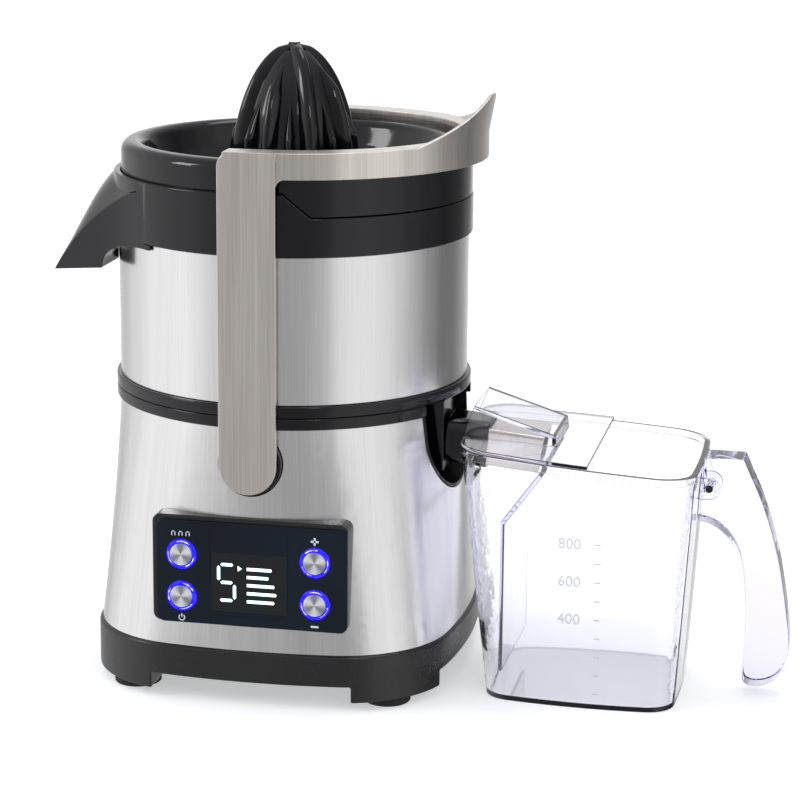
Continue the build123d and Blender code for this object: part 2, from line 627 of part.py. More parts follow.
with BuildPart() as drive_shaft:
    add(ring(COLLAR_BORE_R - 1, DRIVE_R, SHAFT_TOP_Z + 1, SHAFT_TOP_Z + 6))
    with BuildSketch(Plane.XY.offset(COUPLING_Z + 1)):
        Circle(COLLAR_BORE_R - 1)
        RegularPolygon(COUPLING_R - 2 + RUNNING_FIT, 6, mode=Mode.SUBTRACT)
    extrude(amount=SHAFT_TOP_Z - COUPLING_Z)
    add(ring(DRIVE_R, 0, SHAFT_TOP_Z + 1, GEAR_Z - 0.5))
    add(ring(SUN_SEAT_R, 0, GEAR_Z - 0.5, GEAR_TOP_Z))
drive_shaft.part.label = "drive_shaft"
export_step(drive_shaft.part, "parts/drive_shaft.step")

with BuildPart() as sun_gear:
    with BuildSketch(Plane.XY.offset(GEAR_Z)):
        pitch_r = MODULE * SUN_TEETH / 2
        add(gear_outline(SUN_TEETH, pitch_r + ADDENDUM, pitch_r - DEDENDUM, BACKLASH))
        Circle(SUN_SEAT_R, mode=Mode.SUBTRACT)
    extrude(amount=GEAR_H)
sun_gear.part.label = "sun_gear"
export_step(sun_gear.part, "parts/sun_gear.step")

for number, turn in enumerate((60, 180, 300), start=1):
    x = PLANET_AT * cos(radians(turn))
    y = PLANET_AT * sin(radians(turn))
    with BuildPart() as planet_gear:
        with BuildSketch(Plane.XY.offset(GEAR_Z)):
            pitch_r = MODULE * PLANET_TEETH / 2
            with Locations(Location((x, y), turn + 180 / PLANET_TEETH)):
                add(gear_outline(PLANET_TEETH, pitch_r + ADDENDUM, pitch_r - DEDENDUM, BACKLASH))
            with Locations((x, y)):
                Circle(PIN_R + RUNNING_FIT, mode=Mode.SUBTRACT)
        extrude(amount=GEAR_H)
    planet_gear.part.label = f"planet_gear_{number}"
    export_step(planet_gear.part, f"parts/planet_gear_{number}.step")

PLANET_PLACES = [(PLANET_AT * cos(radians(a)), PLANET_AT * sin(radians(a))) for a in (60, 180, 300)]
HUB_TOP_Z = 272.0
SPINDLE_R = 7.0
SPINDLE_TOP_Z = 306.0
WEB_H = 3.0
RING_OUT_R = CASE_R - CASE_WALL - MOVING_GAP

with BuildPart() as ring_gear:
    with BuildSketch(Plane.XY.offset(GEAR_Z)):
        pitch_r = MODULE * RING_TEETH / 2
        Circle(RING_OUT_R)
        with Locations(Location((0, 0), 180 / RING_TEETH)):
            add(gear_outline(RING_TEETH, pitch_r + DEDENDUM, pitch_r - ADDENDUM, -BACKLASH),
                mode=Mode.SUBTRACT)
    extrude(amount=GEAR_H)
    add(ring(RING_OUT_R, SPINDLE_R, GEAR_TOP_Z + 0.5, GEAR_TOP_Z + 0.5 + WEB_H))
    add(ring(RING_OUT_R, pitch_r + DEDENDUM, GEAR_TOP_Z, GEAR_TOP_Z + 0.5))
ring_gear.part.label = "ring_gear"
export_step(ring_gear.part, "parts/ring_gear.step")

with BuildPart() as spindle:
    add(ring(SPINDLE_R, 0, GEAR_TOP_Z + 0.5, SPINDLE_TOP_Z))
    with BuildSketch(Plane.XY.offset(HUB_TOP_Z + 4)):
        Circle(SPINDLE_R + 1)
        RegularPolygon(SPINDLE_R, 6, mode=Mode.SUBTRACT)
    extrude(amount=SPINDLE_TOP_Z - HUB_TOP_Z, mode=Mode.SUBTRACT)
spindle.part.label = "spindle"
export_step(spindle.part, "parts/spindle.step")

BOWL_DISH_Z = 262.0  # underside of the citrus bowl's floor
with BuildPart() as gear_case:
    add(ring(CASE_R, DRIVE_R + RUNNING_FIT, CASE_Z, CASE_Z + CASE_WALL))
    add(ring(CASE_R, CASE_R - CASE_WALL, CASE_Z + CASE_WALL, BOWL_DISH_Z))
    add(posts(PLANET_PLACES, PIN_R, CASE_Z + CASE_WALL, GEAR_TOP_Z))
    add(posts(PLANET_PLACES, PIN_R + 2, CASE_Z + CASE_WALL, GEAR_Z - SEAT_GAP))
gear_case.part.label = "gear_case"
export_step(gear_case.part, "parts/gear_case.step")

# ================================================================ pulp collector with its chute
COLLECTOR_WALL = 3.5
TROUGH_R = 62.0
STEP_X = (18.0, 32.0)  # the seam drops from its high to its low level between these
CHUTE_WALL = 2.5
# Stations along the chute: distance from the axis, half width, height of its sides, height of its crown.
CHUTE_STATIONS = (
    (60.0, 78.9, 277.2, 291.0),
    (72.0, 70.4, 274.0, 290.0),
    (90.0, 58.5, 264.0, 285.0),
    (106.0, 50.5, 251.0, 272.0),
    (117.0, 45.5, 239.0, 252.0),
    (127.0, 41.0, 225.0, 233.0),
    (132.0, 39.0, 216.0, 222.0),
)
MOUTH_OUT = (140.0, 222.5)  # the mouth's plane, as distance from the axis and height
MOUTH_IN = (95.0, 229.0)
CHUTE_LOW_Z = 200.0


def seam_block(gap):
    """Everything on the outlet side of the stepped seam, from the low level up."""
    reach = 2 * BAND_R
    return side_plate(
        [(STEP_X[1] - gap, COLLECTOR_TOP_Z - gap), (reach, COLLECTOR_TOP_Z - gap), (reach, RIM_Z * 2),
         (STEP_X[0] - gap, RIM_Z * 2), (STEP_X[0] - gap, COLLECTOR_HIGH_Z)],
        -reach, reach)


def chute_volume(inset, mouth_drop):
    """The chute's outer volume, or the passage in it: arched sections, closed below by a curved floor."""
    with BuildPart() as piece:
        for x, half, side_z, crown_z in CHUTE_STATIONS:
            width = half - inset
            with BuildSketch(Plane.YZ.offset(0.8 * inset - x)):
                with BuildLine():
                    Polyline((width, side_z - 0.6 * inset), (width, CHUTE_LOW_Z), (-width, CHUTE_LOW_Z),
                             (-width, side_z - 0.6 * inset))
                    ThreePointArc((-width, side_z - 0.6 * inset), (0, crown_z - 0.9 * inset),
                                  (width, side_z - 0.6 * inset))
                make_face()
        loft()
        with BuildSketch(Plane.XZ.offset(BAND_R)):
            with BuildLine():
                Polyline((-MOUTH_IN[0] - inset, MOUTH_IN[1] - mouth_drop),
                         (-MOUTH_OUT[0], MOUTH_OUT[1] - mouth_drop), (-MOUTH_OUT[0], RIM_Z),
                         (-CHUTE_STATIONS[0][0], RIM_Z), (-CHUTE_STATIONS[0][0], BOWL_TOP_Z - 3 + inset))
                Spline((-CHUTE_STATIONS[0][0], BOWL_TOP_Z - 3 + inset), (-84, 242 + inset),
                       (-90.5 - 0.7 * inset, 238.5 + 0.8 * inset), (-MOUTH_IN[0] - inset, MOUTH_IN[1] - mouth_drop))
            make_face()
        extrude(amount=-2 * BAND_R, mode=Mode.INTERSECT)
    return piece.part


with BuildPart() as pulp_collector:
    add(chute_volume(0, 0))
    add(ring(SLEEVE_R + 0.5, 0, CHUTE_LOW_Z, BOWL_TOP_Z), mode=Mode.SUBTRACT)
    add(ring(2 * BAND_R, 0, COLLECTOR_HIGH_Z, RIM_Z), mode=Mode.SUBTRACT)
    add(ring(BAND_R, 0, BOWL_TOP_Z, COLLECTOR_HIGH_Z))
    add(ring(BAND_R - COLLECTOR_WALL, 0, BOWL_TOP_Z, COLLECTOR_HIGH_Z), mode=Mode.SUBTRACT)
    add(seam_block(0), mode=Mode.SUBTRACT)
    add(ring(BAND_R - COLLECTOR_WALL, TROUGH_R, BOWL_TOP_Z, BOWL_TOP_Z + CHUTE_WALL))
    add(ring(TROUGH_R + CHUTE_WALL, TROUGH_R, BOWL_TOP_Z, BOWL_TOP_Z + 9))
    passage = chute_volume(CHUTE_WALL, 2) - ring(SLEEVE_R + 0.5 + CHUTE_WALL, 0, CHUTE_LOW_Z,
                                                 BOWL_TOP_Z + CHUTE_WALL)
    add(passage, mode=Mode.SUBTRACT)
pulp_collector.part.label = "pulp_collector"
export_step(pulp_collector.part, "parts/pulp_collector.step")

# ================================================================ citrus bowl, strainer and reamer
RIM_OUT_R = BAND_R - COLLECTOR_WALL - 0.5
RIM_IN_R = 83.0
SKIRT_R = BAND_R - 0.5
DISH_T = 2.5
DISH_R = 68.0
DRAIN_R = (44.0, 60.0)

with BuildPart() as citrus_bowl:
    with BuildSketch(Plane.XZ):
        with BuildLine():
            Polyline((RIM_OUT_R, COLLECTOR_TOP_Z + 1), (RIM_OUT_R, RIM_Z - 5))
            ThreePointArc((RIM_OUT_R, RIM_Z - 5), (RIM_OUT_R - 2, RIM_Z - 1.4), (RIM_OUT_R - 6, RIM_Z))
            ThreePointArc((RIM_OUT_R - 6, RIM_Z), (RIM_IN_R + 2, RIM_Z - 1.2), (RIM_IN_R, RIM_Z - 4))
            Polyline((RIM_IN_R, RIM_Z - 4), (RIM_IN_R - 4, RIM_Z - 16), (DISH_R, BOWL_DISH_Z + DISH_T),
                     (SPINDLE_R + RUNNING_FIT, BOWL_DISH_Z + DISH_T), (SPINDLE_R + RUNNING_FIT, BOWL_DISH_Z),
                     (DISH_R + 2, BOWL_DISH_Z), (RIM_IN_R - 1, RIM_Z - 18), (RIM_IN_R + 3, RIM_Z - 5),
                     (RIM_OUT_R - DISH_T, RIM_Z - 5), (RIM_OUT_R - DISH_T, COLLECTOR_TOP_Z + 1),
                     (RIM_OUT_R, COLLECTOR_TOP_Z + 1))
        make_face()
    revolve(axis=Axis.Z)
    with BuildSketch(Plane.XY.offset(BOWL_DISH_Z)):
        Circle(24)
        Circle(SPINDLE_R + RUNNING_FIT, mode=Mode.SUBTRACT)
    extrude(amount=HUB_TOP_Z - BOWL_DISH_Z, taper=8)
    with BuildSketch(Plane.XY.offset(BOWL_DISH_Z)):
        with PolarLocations((DRAIN_R[0] + DRAIN_R[1]) / 2, 8):
            SlotOverall(DRAIN_R[1] - DRAIN_R[0], 9)
    extrude(amount=DISH_T, mode=Mode.SUBTRACT)
    with BuildSketch(Plane.XY.offset(COLLECTOR_TOP_Z + SEAT_GAP)) as skirt_sketch:
        Circle(SKIRT_R)
        Circle(RIM_OUT_R - DISH_T, mode=Mode.SUBTRACT)
    skirt = extrude(amount=RIM_Z - 7 - COLLECTOR_TOP_Z, mode=Mode.PRIVATE)
    add(skirt & seam_block(-SEAT_GAP))
citrus_bowl.part.label = "citrus_bowl"
export_step(citrus_bowl.part, "parts/citrus_bowl.step")

with BuildPart() as strainer:
    add(ring(DRAIN_R[1] + 4, DRAIN_R[0] - 4, BOWL_DISH_Z + DISH_T, BOWL_DISH_Z + DISH_T + 1))
    with BuildSketch(Plane.XY.offset(BOWL_DISH_Z)):
        with PolarLocations((DRAIN_R[0] + DRAIN_R[1]) / 2, 72):
            SlotOverall(DRAIN_R[1] - DRAIN_R[0], 1.6)
    extrude(amount=10, mode=Mode.SUBTRACT)
strainer.part.label = "strainer"
export_step(strainer.part, "parts/strainer.step")

REAMER_Z = HUB_TOP_Z + 1
REAMER_R = 37.0
REAMER_H = REAMER_TOP_Z - REAMER_Z
RIB_T = 4.4
RIB_DEPTH = 5.0
REAMER_WALL = 3.0


FIRST_RIB = -59.0  # direction of the first main rib, in degrees
RIB_COUNT = 8
LOW_RIB_DROP = 1.2  # every second rib stands this much lower


def half_egg(turn, radius, height):
    """Quarter-ellipse profile of the reamer, standing on its base and looking in the given direction."""
    along = (cos(radians(turn)), sin(radians(turn)), 0)
    with BuildSketch(Plane(origin=(0, 0, 0), x_dir=along, z_dir=(along[1], -along[0], 0))) as outline:
        with Locations((0, REAMER_Z)):
            Ellipse(radius, height)
        with Locations((radius, REAMER_Z + height / 2)):
            Rectangle(2 * radius, height, mode=Mode.INTERSECT)
    return outline.sketch


with BuildPart() as reamer:
    revolve(half_egg(0, REAMER_R - RIB_DEPTH, REAMER_H - RIB_DEPTH), axis=Axis.Z)
    for rib in range(RIB_COUNT):
        drop = LOW_RIB_DROP * (rib % 2)
        profile = half_egg(FIRST_RIB + rib * 360 / RIB_COUNT, REAMER_R - drop, REAMER_H - drop)
        extrude(profile.face(), amount=RIB_T / 2, both=True)
    add(ring(REAMER_R + 2, 0, REAMER_Z, REAMER_Z + 3))
    inner_top = REAMER_Z + REAMER_H - 4 * REAMER_WALL
    add(turned([(0, REAMER_Z), (REAMER_R - 8, REAMER_Z), (REAMER_R - 13, REAMER_Z + 38), (0, inner_top - 9)]),
        mode=Mode.SUBTRACT)
    with BuildSketch(Plane.XY.offset(REAMER_Z + 4)):
        Circle(SPINDLE_R + 4)
    extrude(amount=REAMER_H - 24)
    with BuildSketch(Plane.XY.offset(REAMER_Z)):
        Circle(SPINDLE_R + RUNNING_FIT)
    extrude(amount=SPINDLE_TOP_Z + MOVING_GAP - REAMER_Z, mode=Mode.SUBTRACT)
reamer.part.label = "reamer"
export_step(reamer.part, "parts/reamer.step")

# ================================================================ locking arm
ARM_IN_Y = 102.2  # inner face of each leg
ARM_T = 3.0
ARM_OUT_Y = ARM_IN_Y + ARM_T
ARM_W = 31.5
ARM_TOP_Z = 303.0
ARM_BAND_H = 14.0
ARM_BEND_X = 3.0  # where the band starts to bend round the bowl
ARM_CORNER_R = 4.5  # inner corner between leg and band
ARM_OUTER_R = 8.0
HEM_T = 1.5
HEM_DROP = 1.2
FLANGE_W = 14.0
FLANGE_T = 2.2
LINER_T = 1.2
PIN_ARM_R = 5.0
LIP_TOP_Z = 325.0
LIP_HALF_Y = 68.0
LIP_FLARE = 4.0

bend_plane = Plane(origin=(ARM_BEND_X, 0, 0), x_dir=(0, -1, 0), z_dir=(-1, 0, 0))
bend_axis = Axis((ARM_BEND_X, 0, 0), (0, 0, 1))
flange_in = ARM_OUT_Y - FLANGE_W
flange_z = ARM_TOP_Z - FLANGE_T
band_low_z = ARM_TOP_Z - ARM_BAND_H


def leg_outline():
    """Side view of a leg: round lower end at the pivot, square shoulder with the start of the band."""
    half = ARM_W / 2
    with BuildSketch(Plane.XZ) as outline:
        with Locations((0, (PIVOT_Z + ARM_TOP_Z) / 2)):
            Rectangle(ARM_W, ARM_TOP_Z - PIVOT_Z)
        fillet(outline.vertices().group_by(Axis.Y)[-1].sort_by(Axis.X)[0], ARM_OUTER_R)
        with Locations((0, PIVOT_Z)):
            Circle(half)
    return outline.sketch


with BuildPart() as locking_arm:
    for y_low in (-ARM_OUT_Y, ARM_IN_Y):
        with BuildSketch(Plane.XZ.offset(-y_low)):
            add(leg_outline())
        extrude(amount=-ARM_T)
        inward = (y_low, y_low + FLANGE_W) if y_low < 0 else (ARM_OUT_Y - FLANGE_W, ARM_OUT_Y)
        hem = (inward[1] - HEM_T, inward[1]) if y_low < 0 else (inward[0], inward[0] + HEM_T)
        add(box((-ARM_W / 2 + 3, ARM_BEND_X), inward, (flange_z, ARM_TOP_Z)))
        add(box((-ARM_W / 2 + 3, ARM_BEND_X), hem, (flange_z - HEM_DROP, ARM_TOP_Z)))
    with BuildSketch(bend_plane):
        with BuildLine():
            Polyline((ARM_IN_Y, band_low_z), (ARM_OUT_Y, band_low_z),
                     (ARM_OUT_Y, ARM_TOP_Z), (flange_in, ARM_TOP_Z), (flange_in, flange_z - HEM_DROP),
                     (flange_in + HEM_T, flange_z - HEM_DROP), (flange_in + HEM_T, flange_z), (ARM_IN_Y, flange_z),
                     close=True)
        make_face()
    revolve(axis=bend_axis, revolution_arc=180)
    with BuildSketch(bend_plane):
        with BuildLine():
            Polyline((ARM_OUT_Y - 2.4, flange_z), (ARM_OUT_Y, flange_z), (ARM_OUT_Y, ARM_TOP_Z),
                     (ARM_OUT_Y + LIP_FLARE, LIP_TOP_Z), (ARM_OUT_Y + LIP_FLARE - 2, LIP_TOP_Z), close=True)
        make_face()
    lip = revolve(axis=bend_axis, revolution_arc=180, mode=Mode.PRIVATE)
    with BuildSketch(Plane.YZ.offset(ARM_BEND_X)):
        with BuildLine():
            Polyline((-LIP_HALF_Y - 20, flange_z), (-LIP_HALF_Y, ARM_TOP_Z), (-6, LIP_TOP_Z),
                     (6, LIP_TOP_Z), (LIP_HALF_Y, ARM_TOP_Z), (LIP_HALF_Y + 20, flange_z), close=True)
        make_face()
    wedge = extrude(amount=ARM_OUT_Y * 2, mode=Mode.PRIVATE)
    add(lip & wedge)
    # The inner corners between the legs and the band are filled to a radius.
    with BuildSketch(bend_plane):
        with BuildLine():
            Polyline((ARM_IN_Y, band_low_z - ARM_CORNER_R), (ARM_OUT_Y, band_low_z - ARM_CORNER_R),
                     (ARM_OUT_Y, band_low_z + 1), (ARM_IN_Y, band_low_z + 1), close=True)
        make_face()
    skirt = revolve(axis=bend_axis, revolution_arc=180, mode=Mode.PRIVATE)
    with BuildSketch(Plane.XZ.offset(-2 * ARM_OUT_Y)):
        with Locations((ARM_W / 2 + ARM_CORNER_R / 2 - 0.5, band_low_z - ARM_CORNER_R / 2 + 1)):
            Rectangle(ARM_CORNER_R + 1, ARM_CORNER_R + 2)
        with Locations((ARM_W / 2 + ARM_CORNER_R, band_low_z - ARM_CORNER_R)):
            Circle(ARM_CORNER_R, mode=Mode.SUBTRACT)
    corners = extrude(amount=4 * ARM_OUT_Y, mode=Mode.PRIVATE)
    add(skirt & corners)
locking_arm.part.label = "locking_arm"
export_step(locking_arm.part, "parts/locking_arm.step")

HUB_GAP = 0.4  # between a hub's face and the liner
HUB_IN_Y = 90.0


def both_sides(radius, y_inner, y_outer, bore_r=0):
    """Two round bars on the pivot's axis, one on each side of the machine."""
    with BuildPart() as piece:
        for side in (-1, 1):
            y_range = tuple(sorted((side * y_inner, side * y_outer)))
            add(across(radius, y_range, 0, PIVOT_Z))
            if bore_r:
                add(across(bore_r, y_range, 0, PIVOT_Z), mode=Mode.SUBTRACT)
    return piece.part


LINER_Y = ARM_IN_Y - LINER_T
LINER_HALF = ARM_W / 2 - 1.5
with BuildPart() as arm_liners:
    add(both_sides(LINER_HALF, LINER_Y, ARM_IN_Y))
    for y_range in ((-ARM_IN_Y, -LINER_Y), (LINER_Y, ARM_IN_Y)):
        add(box((-LINER_HALF, LINER_HALF), y_range, (PIVOT_Z, band_low_z - 0.5)))
    add(both_sides(PIN_ARM_R, LINER_Y, ARM_IN_Y), mode=Mode.SUBTRACT)
arm_liners.part.label = "arm_liners"
export_step(arm_liners.part, "parts/arm_liners.step")

with BuildPart() as pivot_pins:
    add(both_sides(PIN_ARM_R, HUB_IN_Y + 2, ARM_IN_Y))
pivot_pins.part.label = "pivot_pins"
export_step(pivot_pins.part, "parts/pivot_pins.step")

with BuildPart() as pivot_hubs:
    add(both_sides(HUB_R, HUB_IN_Y, LINER_Y - HUB_GAP, bore_r=PIN_ARM_R + RUNNING_FIT))
pivot_hubs.part.label = "pivot_hubs"
export_step(pivot_hubs.part, "parts/pivot_hubs.step")

# ================================================================ pitcher
PITCHER_LOW_X = (120.5, 227.0)
PITCHER_RIM_X = (104.5, 235.5)
PITCHER_LOW_HALF = (43.0, 46.0)  # half widths at the machine's side and at the handle's side
PITCHER_RIM_HALF = (51.0, 57.0)
PITCHER_BOW = 4.0
RIM_REF_Z = 145.0
RIM_NEAR_Z = 141.0
RIM_FAR_Z = 132.5
RIM_BAND_T = 0.9  # how far the rim's band stands out
RIM_BAND_H = 4.2
LID_GAP = 0.3
LID_T = 2.0
rim_slope = (RIM_NEAR_Z - RIM_FAR_Z) / (PITCHER_RIM_X[1] - PITCHER_RIM_X[0])
rim_plane = Plane(origin=(PITCHER_RIM_X[0], OUTLET_Y, RIM_NEAR_Z), x_dir=(1, 0, -rim_slope),
                  z_dir=(rim_slope, 0, 1))


def pitcher_outline(x_range, halves, corner_r, inset):
    """Cross-section of the pitcher, wider at the handle's side, with bowed sides."""
    x_near = x_range[0] + inset + PITCHER_BOW / 2
    x_far = x_range[1] - inset - PITCHER_BOW / 2
    near = halves[0] - inset
    far = halves[1] - inset
    corners = [(x_far, far + OUTLET_Y), (x_near, near + OUTLET_Y),
               (x_near, OUTLET_Y - near), (x_far, OUTLET_Y - far)]
    middle = (near + far) / 2 + PITCHER_BOW
    middles = [(x_far + PITCHER_BOW / 2, OUTLET_Y), ((x_near + x_far) / 2, OUTLET_Y + middle),
               (x_near - PITCHER_BOW / 2, OUTLET_Y), ((x_near + x_far) / 2, OUTLET_Y - middle)]
    return bowed_outline(corners, middles, corner_r - inset)


def pitcher_volume(inset, z_low, z_high):
    """The pitcher's outer or inner volume between two heights, with straight sloping walls."""
    with BuildPart() as piece:
        with BuildSketch(Plane.XY):
            add(pitcher_outline(PITCHER_LOW_X, PITCHER_LOW_HALF, 16, inset))
        with BuildSketch(Plane.XY.offset(RIM_REF_Z)):
            add(pitcher_outline(PITCHER_RIM_X, PITCHER_RIM_HALF, 22, inset))
        loft(ruled=True)
        add(box((0, 400), (-200, 200), (z_low, z_high)), mode=Mode.INTERSECT)
    return piece.part


def rim_band(thickness):
    """The pitcher's volume at its rim, larger all round by the band's thickness."""
    with BuildPart() as piece:
        add(pitcher_volume(-thickness, RIM_FAR_Z - 2 * RIM_BAND_H, RIM_REF_Z))
        split(bisect_by=rim_plane.offset(-RIM_BAND_H), keep=Keep.TOP)
    return piece.part


def outlet_gap(half, x_range, z_range):
    """Block about the outlet's centre line."""
    return box(x_range, (OUTLET_Y - half, OUTLET_Y + half), z_range)


HANDLE_HALF = 10.0
LUG_T = 2.5
PITCHER_PIN = (239.0, 118.0)
PITCHER_PIN_R = 2.0
NOTCH_PITCHER_HALF = 22.0
NOTCH_PITCHER_Z = 119.0
with BuildPart() as pitcher_body:
    add(pitcher_volume(0, 0, RIM_REF_Z))
    for side in (-1, 1):
        lug = tuple(sorted((OUTLET_Y + side * (HANDLE_HALF + 0.2), OUTLET_Y + side * (HANDLE_HALF + LUG_T))))
        add(box((PITCHER_PIN[0] - 10, PITCHER_PIN[0]), lug, (PITCHER_PIN[1] - 6, PITCHER_PIN[1] + 6)))
        add(across(6, lug, *PITCHER_PIN))
        add(across(PITCHER_PIN_R + RUNNING_FIT, lug, *PITCHER_PIN), mode=Mode.SUBTRACT)
    add(rim_band(RIM_BAND_T))
    add(pitcher_volume(CLEAR_WALL, CLEAR_WALL, RIM_REF_Z), mode=Mode.SUBTRACT)
    split(bisect_by=rim_plane, keep=Keep.BOTTOM)
    add(outlet_gap(NOTCH_PITCHER_HALF, (PITCHER_RIM_X[0] - 5, PITCHER_RIM_X[0] + 12),
                   (NOTCH_PITCHER_Z, RIM_REF_Z + 10)), mode=Mode.SUBTRACT)
pitcher_body.part.label = "pitcher_body"
export_step(pitcher_body.part, "parts/pitcher_body.step")

wall_slope = (PITCHER_RIM_X[1] - PITCHER_LOW_X[1]) / RIM_REF_Z


def wall_x(z):
    """Where the far wall's outside is at height z."""
    return PITCHER_LOW_X[1] + wall_slope * z + SEAT_GAP


HANDLE_LOW_Z = 99.0
HANDLE_TOP_Z = 135.0
with BuildPart() as pitcher_handle:
    with BuildSketch(Plane.XZ.offset(-OUTLET_Y + HANDLE_HALF)):
        with BuildLine():
            Polyline((wall_x(HANDLE_LOW_Z), HANDLE_LOW_Z), (wall_x(RIM_FAR_Z), RIM_FAR_Z - 1),
                     (wall_x(RIM_FAR_Z) + 1, HANDLE_TOP_Z), (257, HANDLE_TOP_Z), (261, 126))
            Spline((261, 126), (269, 108), (278, 78), (284, 44), (285, 26), (281, 14), (267, 6.5))
            Spline((267, 6.5), (261, 9), (260, 16), (260.5, 42), (259, 65), (255, 82), (246, 94),
                   (wall_x(HANDLE_LOW_Z), HANDLE_LOW_Z))
        make_face()
    extrude(amount=-2 * HANDLE_HALF)
    add(across(PITCHER_PIN_R + RUNNING_FIT, (OUTLET_Y - HANDLE_HALF, OUTLET_Y + HANDLE_HALF), *PITCHER_PIN),
        mode=Mode.SUBTRACT)
    add(rim_band(RIM_BAND_T + SEAT_GAP), mode=Mode.SUBTRACT)
pitcher_handle.part.label = "pitcher_handle"
export_step(pitcher_handle.part, "parts/pitcher_handle.step")

with BuildPart() as handle_pin:
    reach = HANDLE_HALF + LUG_T
    add(across(PITCHER_PIN_R, (OUTLET_Y - reach, OUTLET_Y + reach), *PITCHER_PIN))
handle_pin.part.label = "handle_pin"
export_step(handle_pin.part, "parts/handle_pin.step")

SEPARATOR_X = 130.0
SEPARATOR_T = 2.0
with BuildPart() as froth_separator:
    add(side_plate([(SEPARATOR_X, 16), (SEPARATOR_X + SEPARATOR_T, 16), (SEPARATOR_X + SEPARATOR_T, 99.5),
                    (SEPARATOR_X + 22, 127), (SEPARATOR_X + 20, 128.5), (SEPARATOR_X, 101)],
                   OUTLET_Y - PITCHER_LOW_HALF[0] + 1.5, OUTLET_Y + PITCHER_LOW_HALF[0] - 1.5))
froth_separator.part.label = "froth_separator"
export_step(froth_separator.part, "parts/froth_separator.step")

# Lid over the outlet's half of the pitcher, with a sloping hood that is open to the machine.
LID_END_X = 178.0
HOOD_HALF = 24.0
HOOD = [(102.0, 134.0), (111.0, 160.0), (156.0, 146.0), (157.0, 136.0)]


def hood_outline(inset):
    """Side view of the hood, or of the space in it, which runs out past its open side."""
    if not inset:
        return HOOD
    return [(HOOD[0][0] - 10, HOOD[0][1] - 10), (HOOD[1][0] - 10, HOOD[1][1] + 3.6 - inset),
            (HOOD[1][0], HOOD[1][1] - inset - 0.1), (HOOD[2][0] - inset, HOOD[2][1] - inset),
            (HOOD[3][0] - inset, HOOD[3][1] - 10)]


with BuildPart() as pitcher_lid:
    with BuildSketch(rim_plane.offset(LID_GAP)):
        add(Sketch() + [f.moved(Location((-PITCHER_RIM_X[0], -OUTLET_Y, 0))) for f in
                        pitcher_outline(PITCHER_RIM_X, PITCHER_RIM_HALF, 22, 0.5).faces()])
    extrude(amount=LID_T)
    add(box((LID_END_X, 300), (-200, 200), (0, 300)), mode=Mode.SUBTRACT)
    add(side_plate(hood_outline(0), OUTLET_Y - HOOD_HALF, OUTLET_Y + HOOD_HALF))
    add(side_plate(hood_outline(LID_T), OUTLET_Y - HOOD_HALF + LID_T, OUTLET_Y + HOOD_HALF - LID_T),
        mode=Mode.SUBTRACT)
    with BuildSketch(rim_plane.offset(LID_GAP)):
        with Locations((150, 0)):
            Rectangle(400, 400)
    extrude(amount=-60, mode=Mode.SUBTRACT)
pitcher_lid.part.label = "pitcher_lid"
export_step(pitcher_lid.part, "parts/pitcher_lid.step")
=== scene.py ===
"""Looks of the countertop juicer in its citrus set-up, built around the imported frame."""
import json
from math import cos, pi, radians, sin, sqrt

import bmesh
import bpy
from mathutils import Matrix, Vector
from mathutils.bvhtree import BVHTree


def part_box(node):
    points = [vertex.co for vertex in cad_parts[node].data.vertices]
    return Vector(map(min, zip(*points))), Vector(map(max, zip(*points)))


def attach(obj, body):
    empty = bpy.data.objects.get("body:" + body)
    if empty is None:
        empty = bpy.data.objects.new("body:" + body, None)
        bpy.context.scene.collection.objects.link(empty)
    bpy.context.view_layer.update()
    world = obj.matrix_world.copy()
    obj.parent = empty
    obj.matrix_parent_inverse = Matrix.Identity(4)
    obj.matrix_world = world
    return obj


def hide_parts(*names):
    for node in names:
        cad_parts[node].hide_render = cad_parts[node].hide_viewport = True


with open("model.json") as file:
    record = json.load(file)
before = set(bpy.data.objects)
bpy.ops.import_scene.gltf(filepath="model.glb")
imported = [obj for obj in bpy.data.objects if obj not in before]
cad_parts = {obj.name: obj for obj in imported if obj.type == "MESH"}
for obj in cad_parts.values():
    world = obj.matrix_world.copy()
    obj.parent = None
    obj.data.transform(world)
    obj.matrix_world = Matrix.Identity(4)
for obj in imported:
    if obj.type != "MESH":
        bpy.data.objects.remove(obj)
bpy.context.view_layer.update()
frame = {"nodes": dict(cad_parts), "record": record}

MM = 0.001
MERGE_GAP = 0.002 * MM  # points closer than this are one point
FULL_TURN = 2 * pi
GRAIN_R = 100.0  # radius at which an upright grain has its stated spacing
LINE_RUN = 70.0  # length of the belt's fine lines
BAND_GAP = 11.0  # width of the belt's softer bands of tone
BAND_RUN = 260.0  # their length
WIDE_TONE = 45.0  # size of the faint patches of tone in moulded plastic
PAINTED_FAN_COUNT = 3  # painted fan-shaped highlights round a lathe-faced cap
scene = bpy.context.scene
scene.view_settings.view_transform = "Standard"
nodes = frame["nodes"]
slot_of = {entry["node"]: entry["material_slot"] for entry in frame["record"]["subparts"]}
body_of = {name: body for body, names in frame["record"]["behaviour"]["bodies"].items() for name in names}


# ---------------------------------------------------------------- node and colour helpers
def node(tree, kind, inputs=None, **settings):
    """Adds one node, with its settings, and its inputs as values or as other nodes' outputs."""
    made = tree.nodes.new(kind)
    for name, value in settings.items():
        setattr(made, name, value)
    for name, value in (inputs or {}).items():
        if isinstance(value, bpy.types.NodeSocket):
            tree.links.new(value, made.inputs[name])
        else:
            made.inputs[name].default_value = value
    return made


def linear(hex_code):
    """An sRGB hex colour as linear RGBA."""
    parts = [int(hex_code[i:i + 2], 16) / 255 for i in (1, 3, 5)]
    return [p / 12.92 if p <= 0.04045 else ((p + 0.055) / 1.055) ** 2.4 for p in parts] + [1.0]


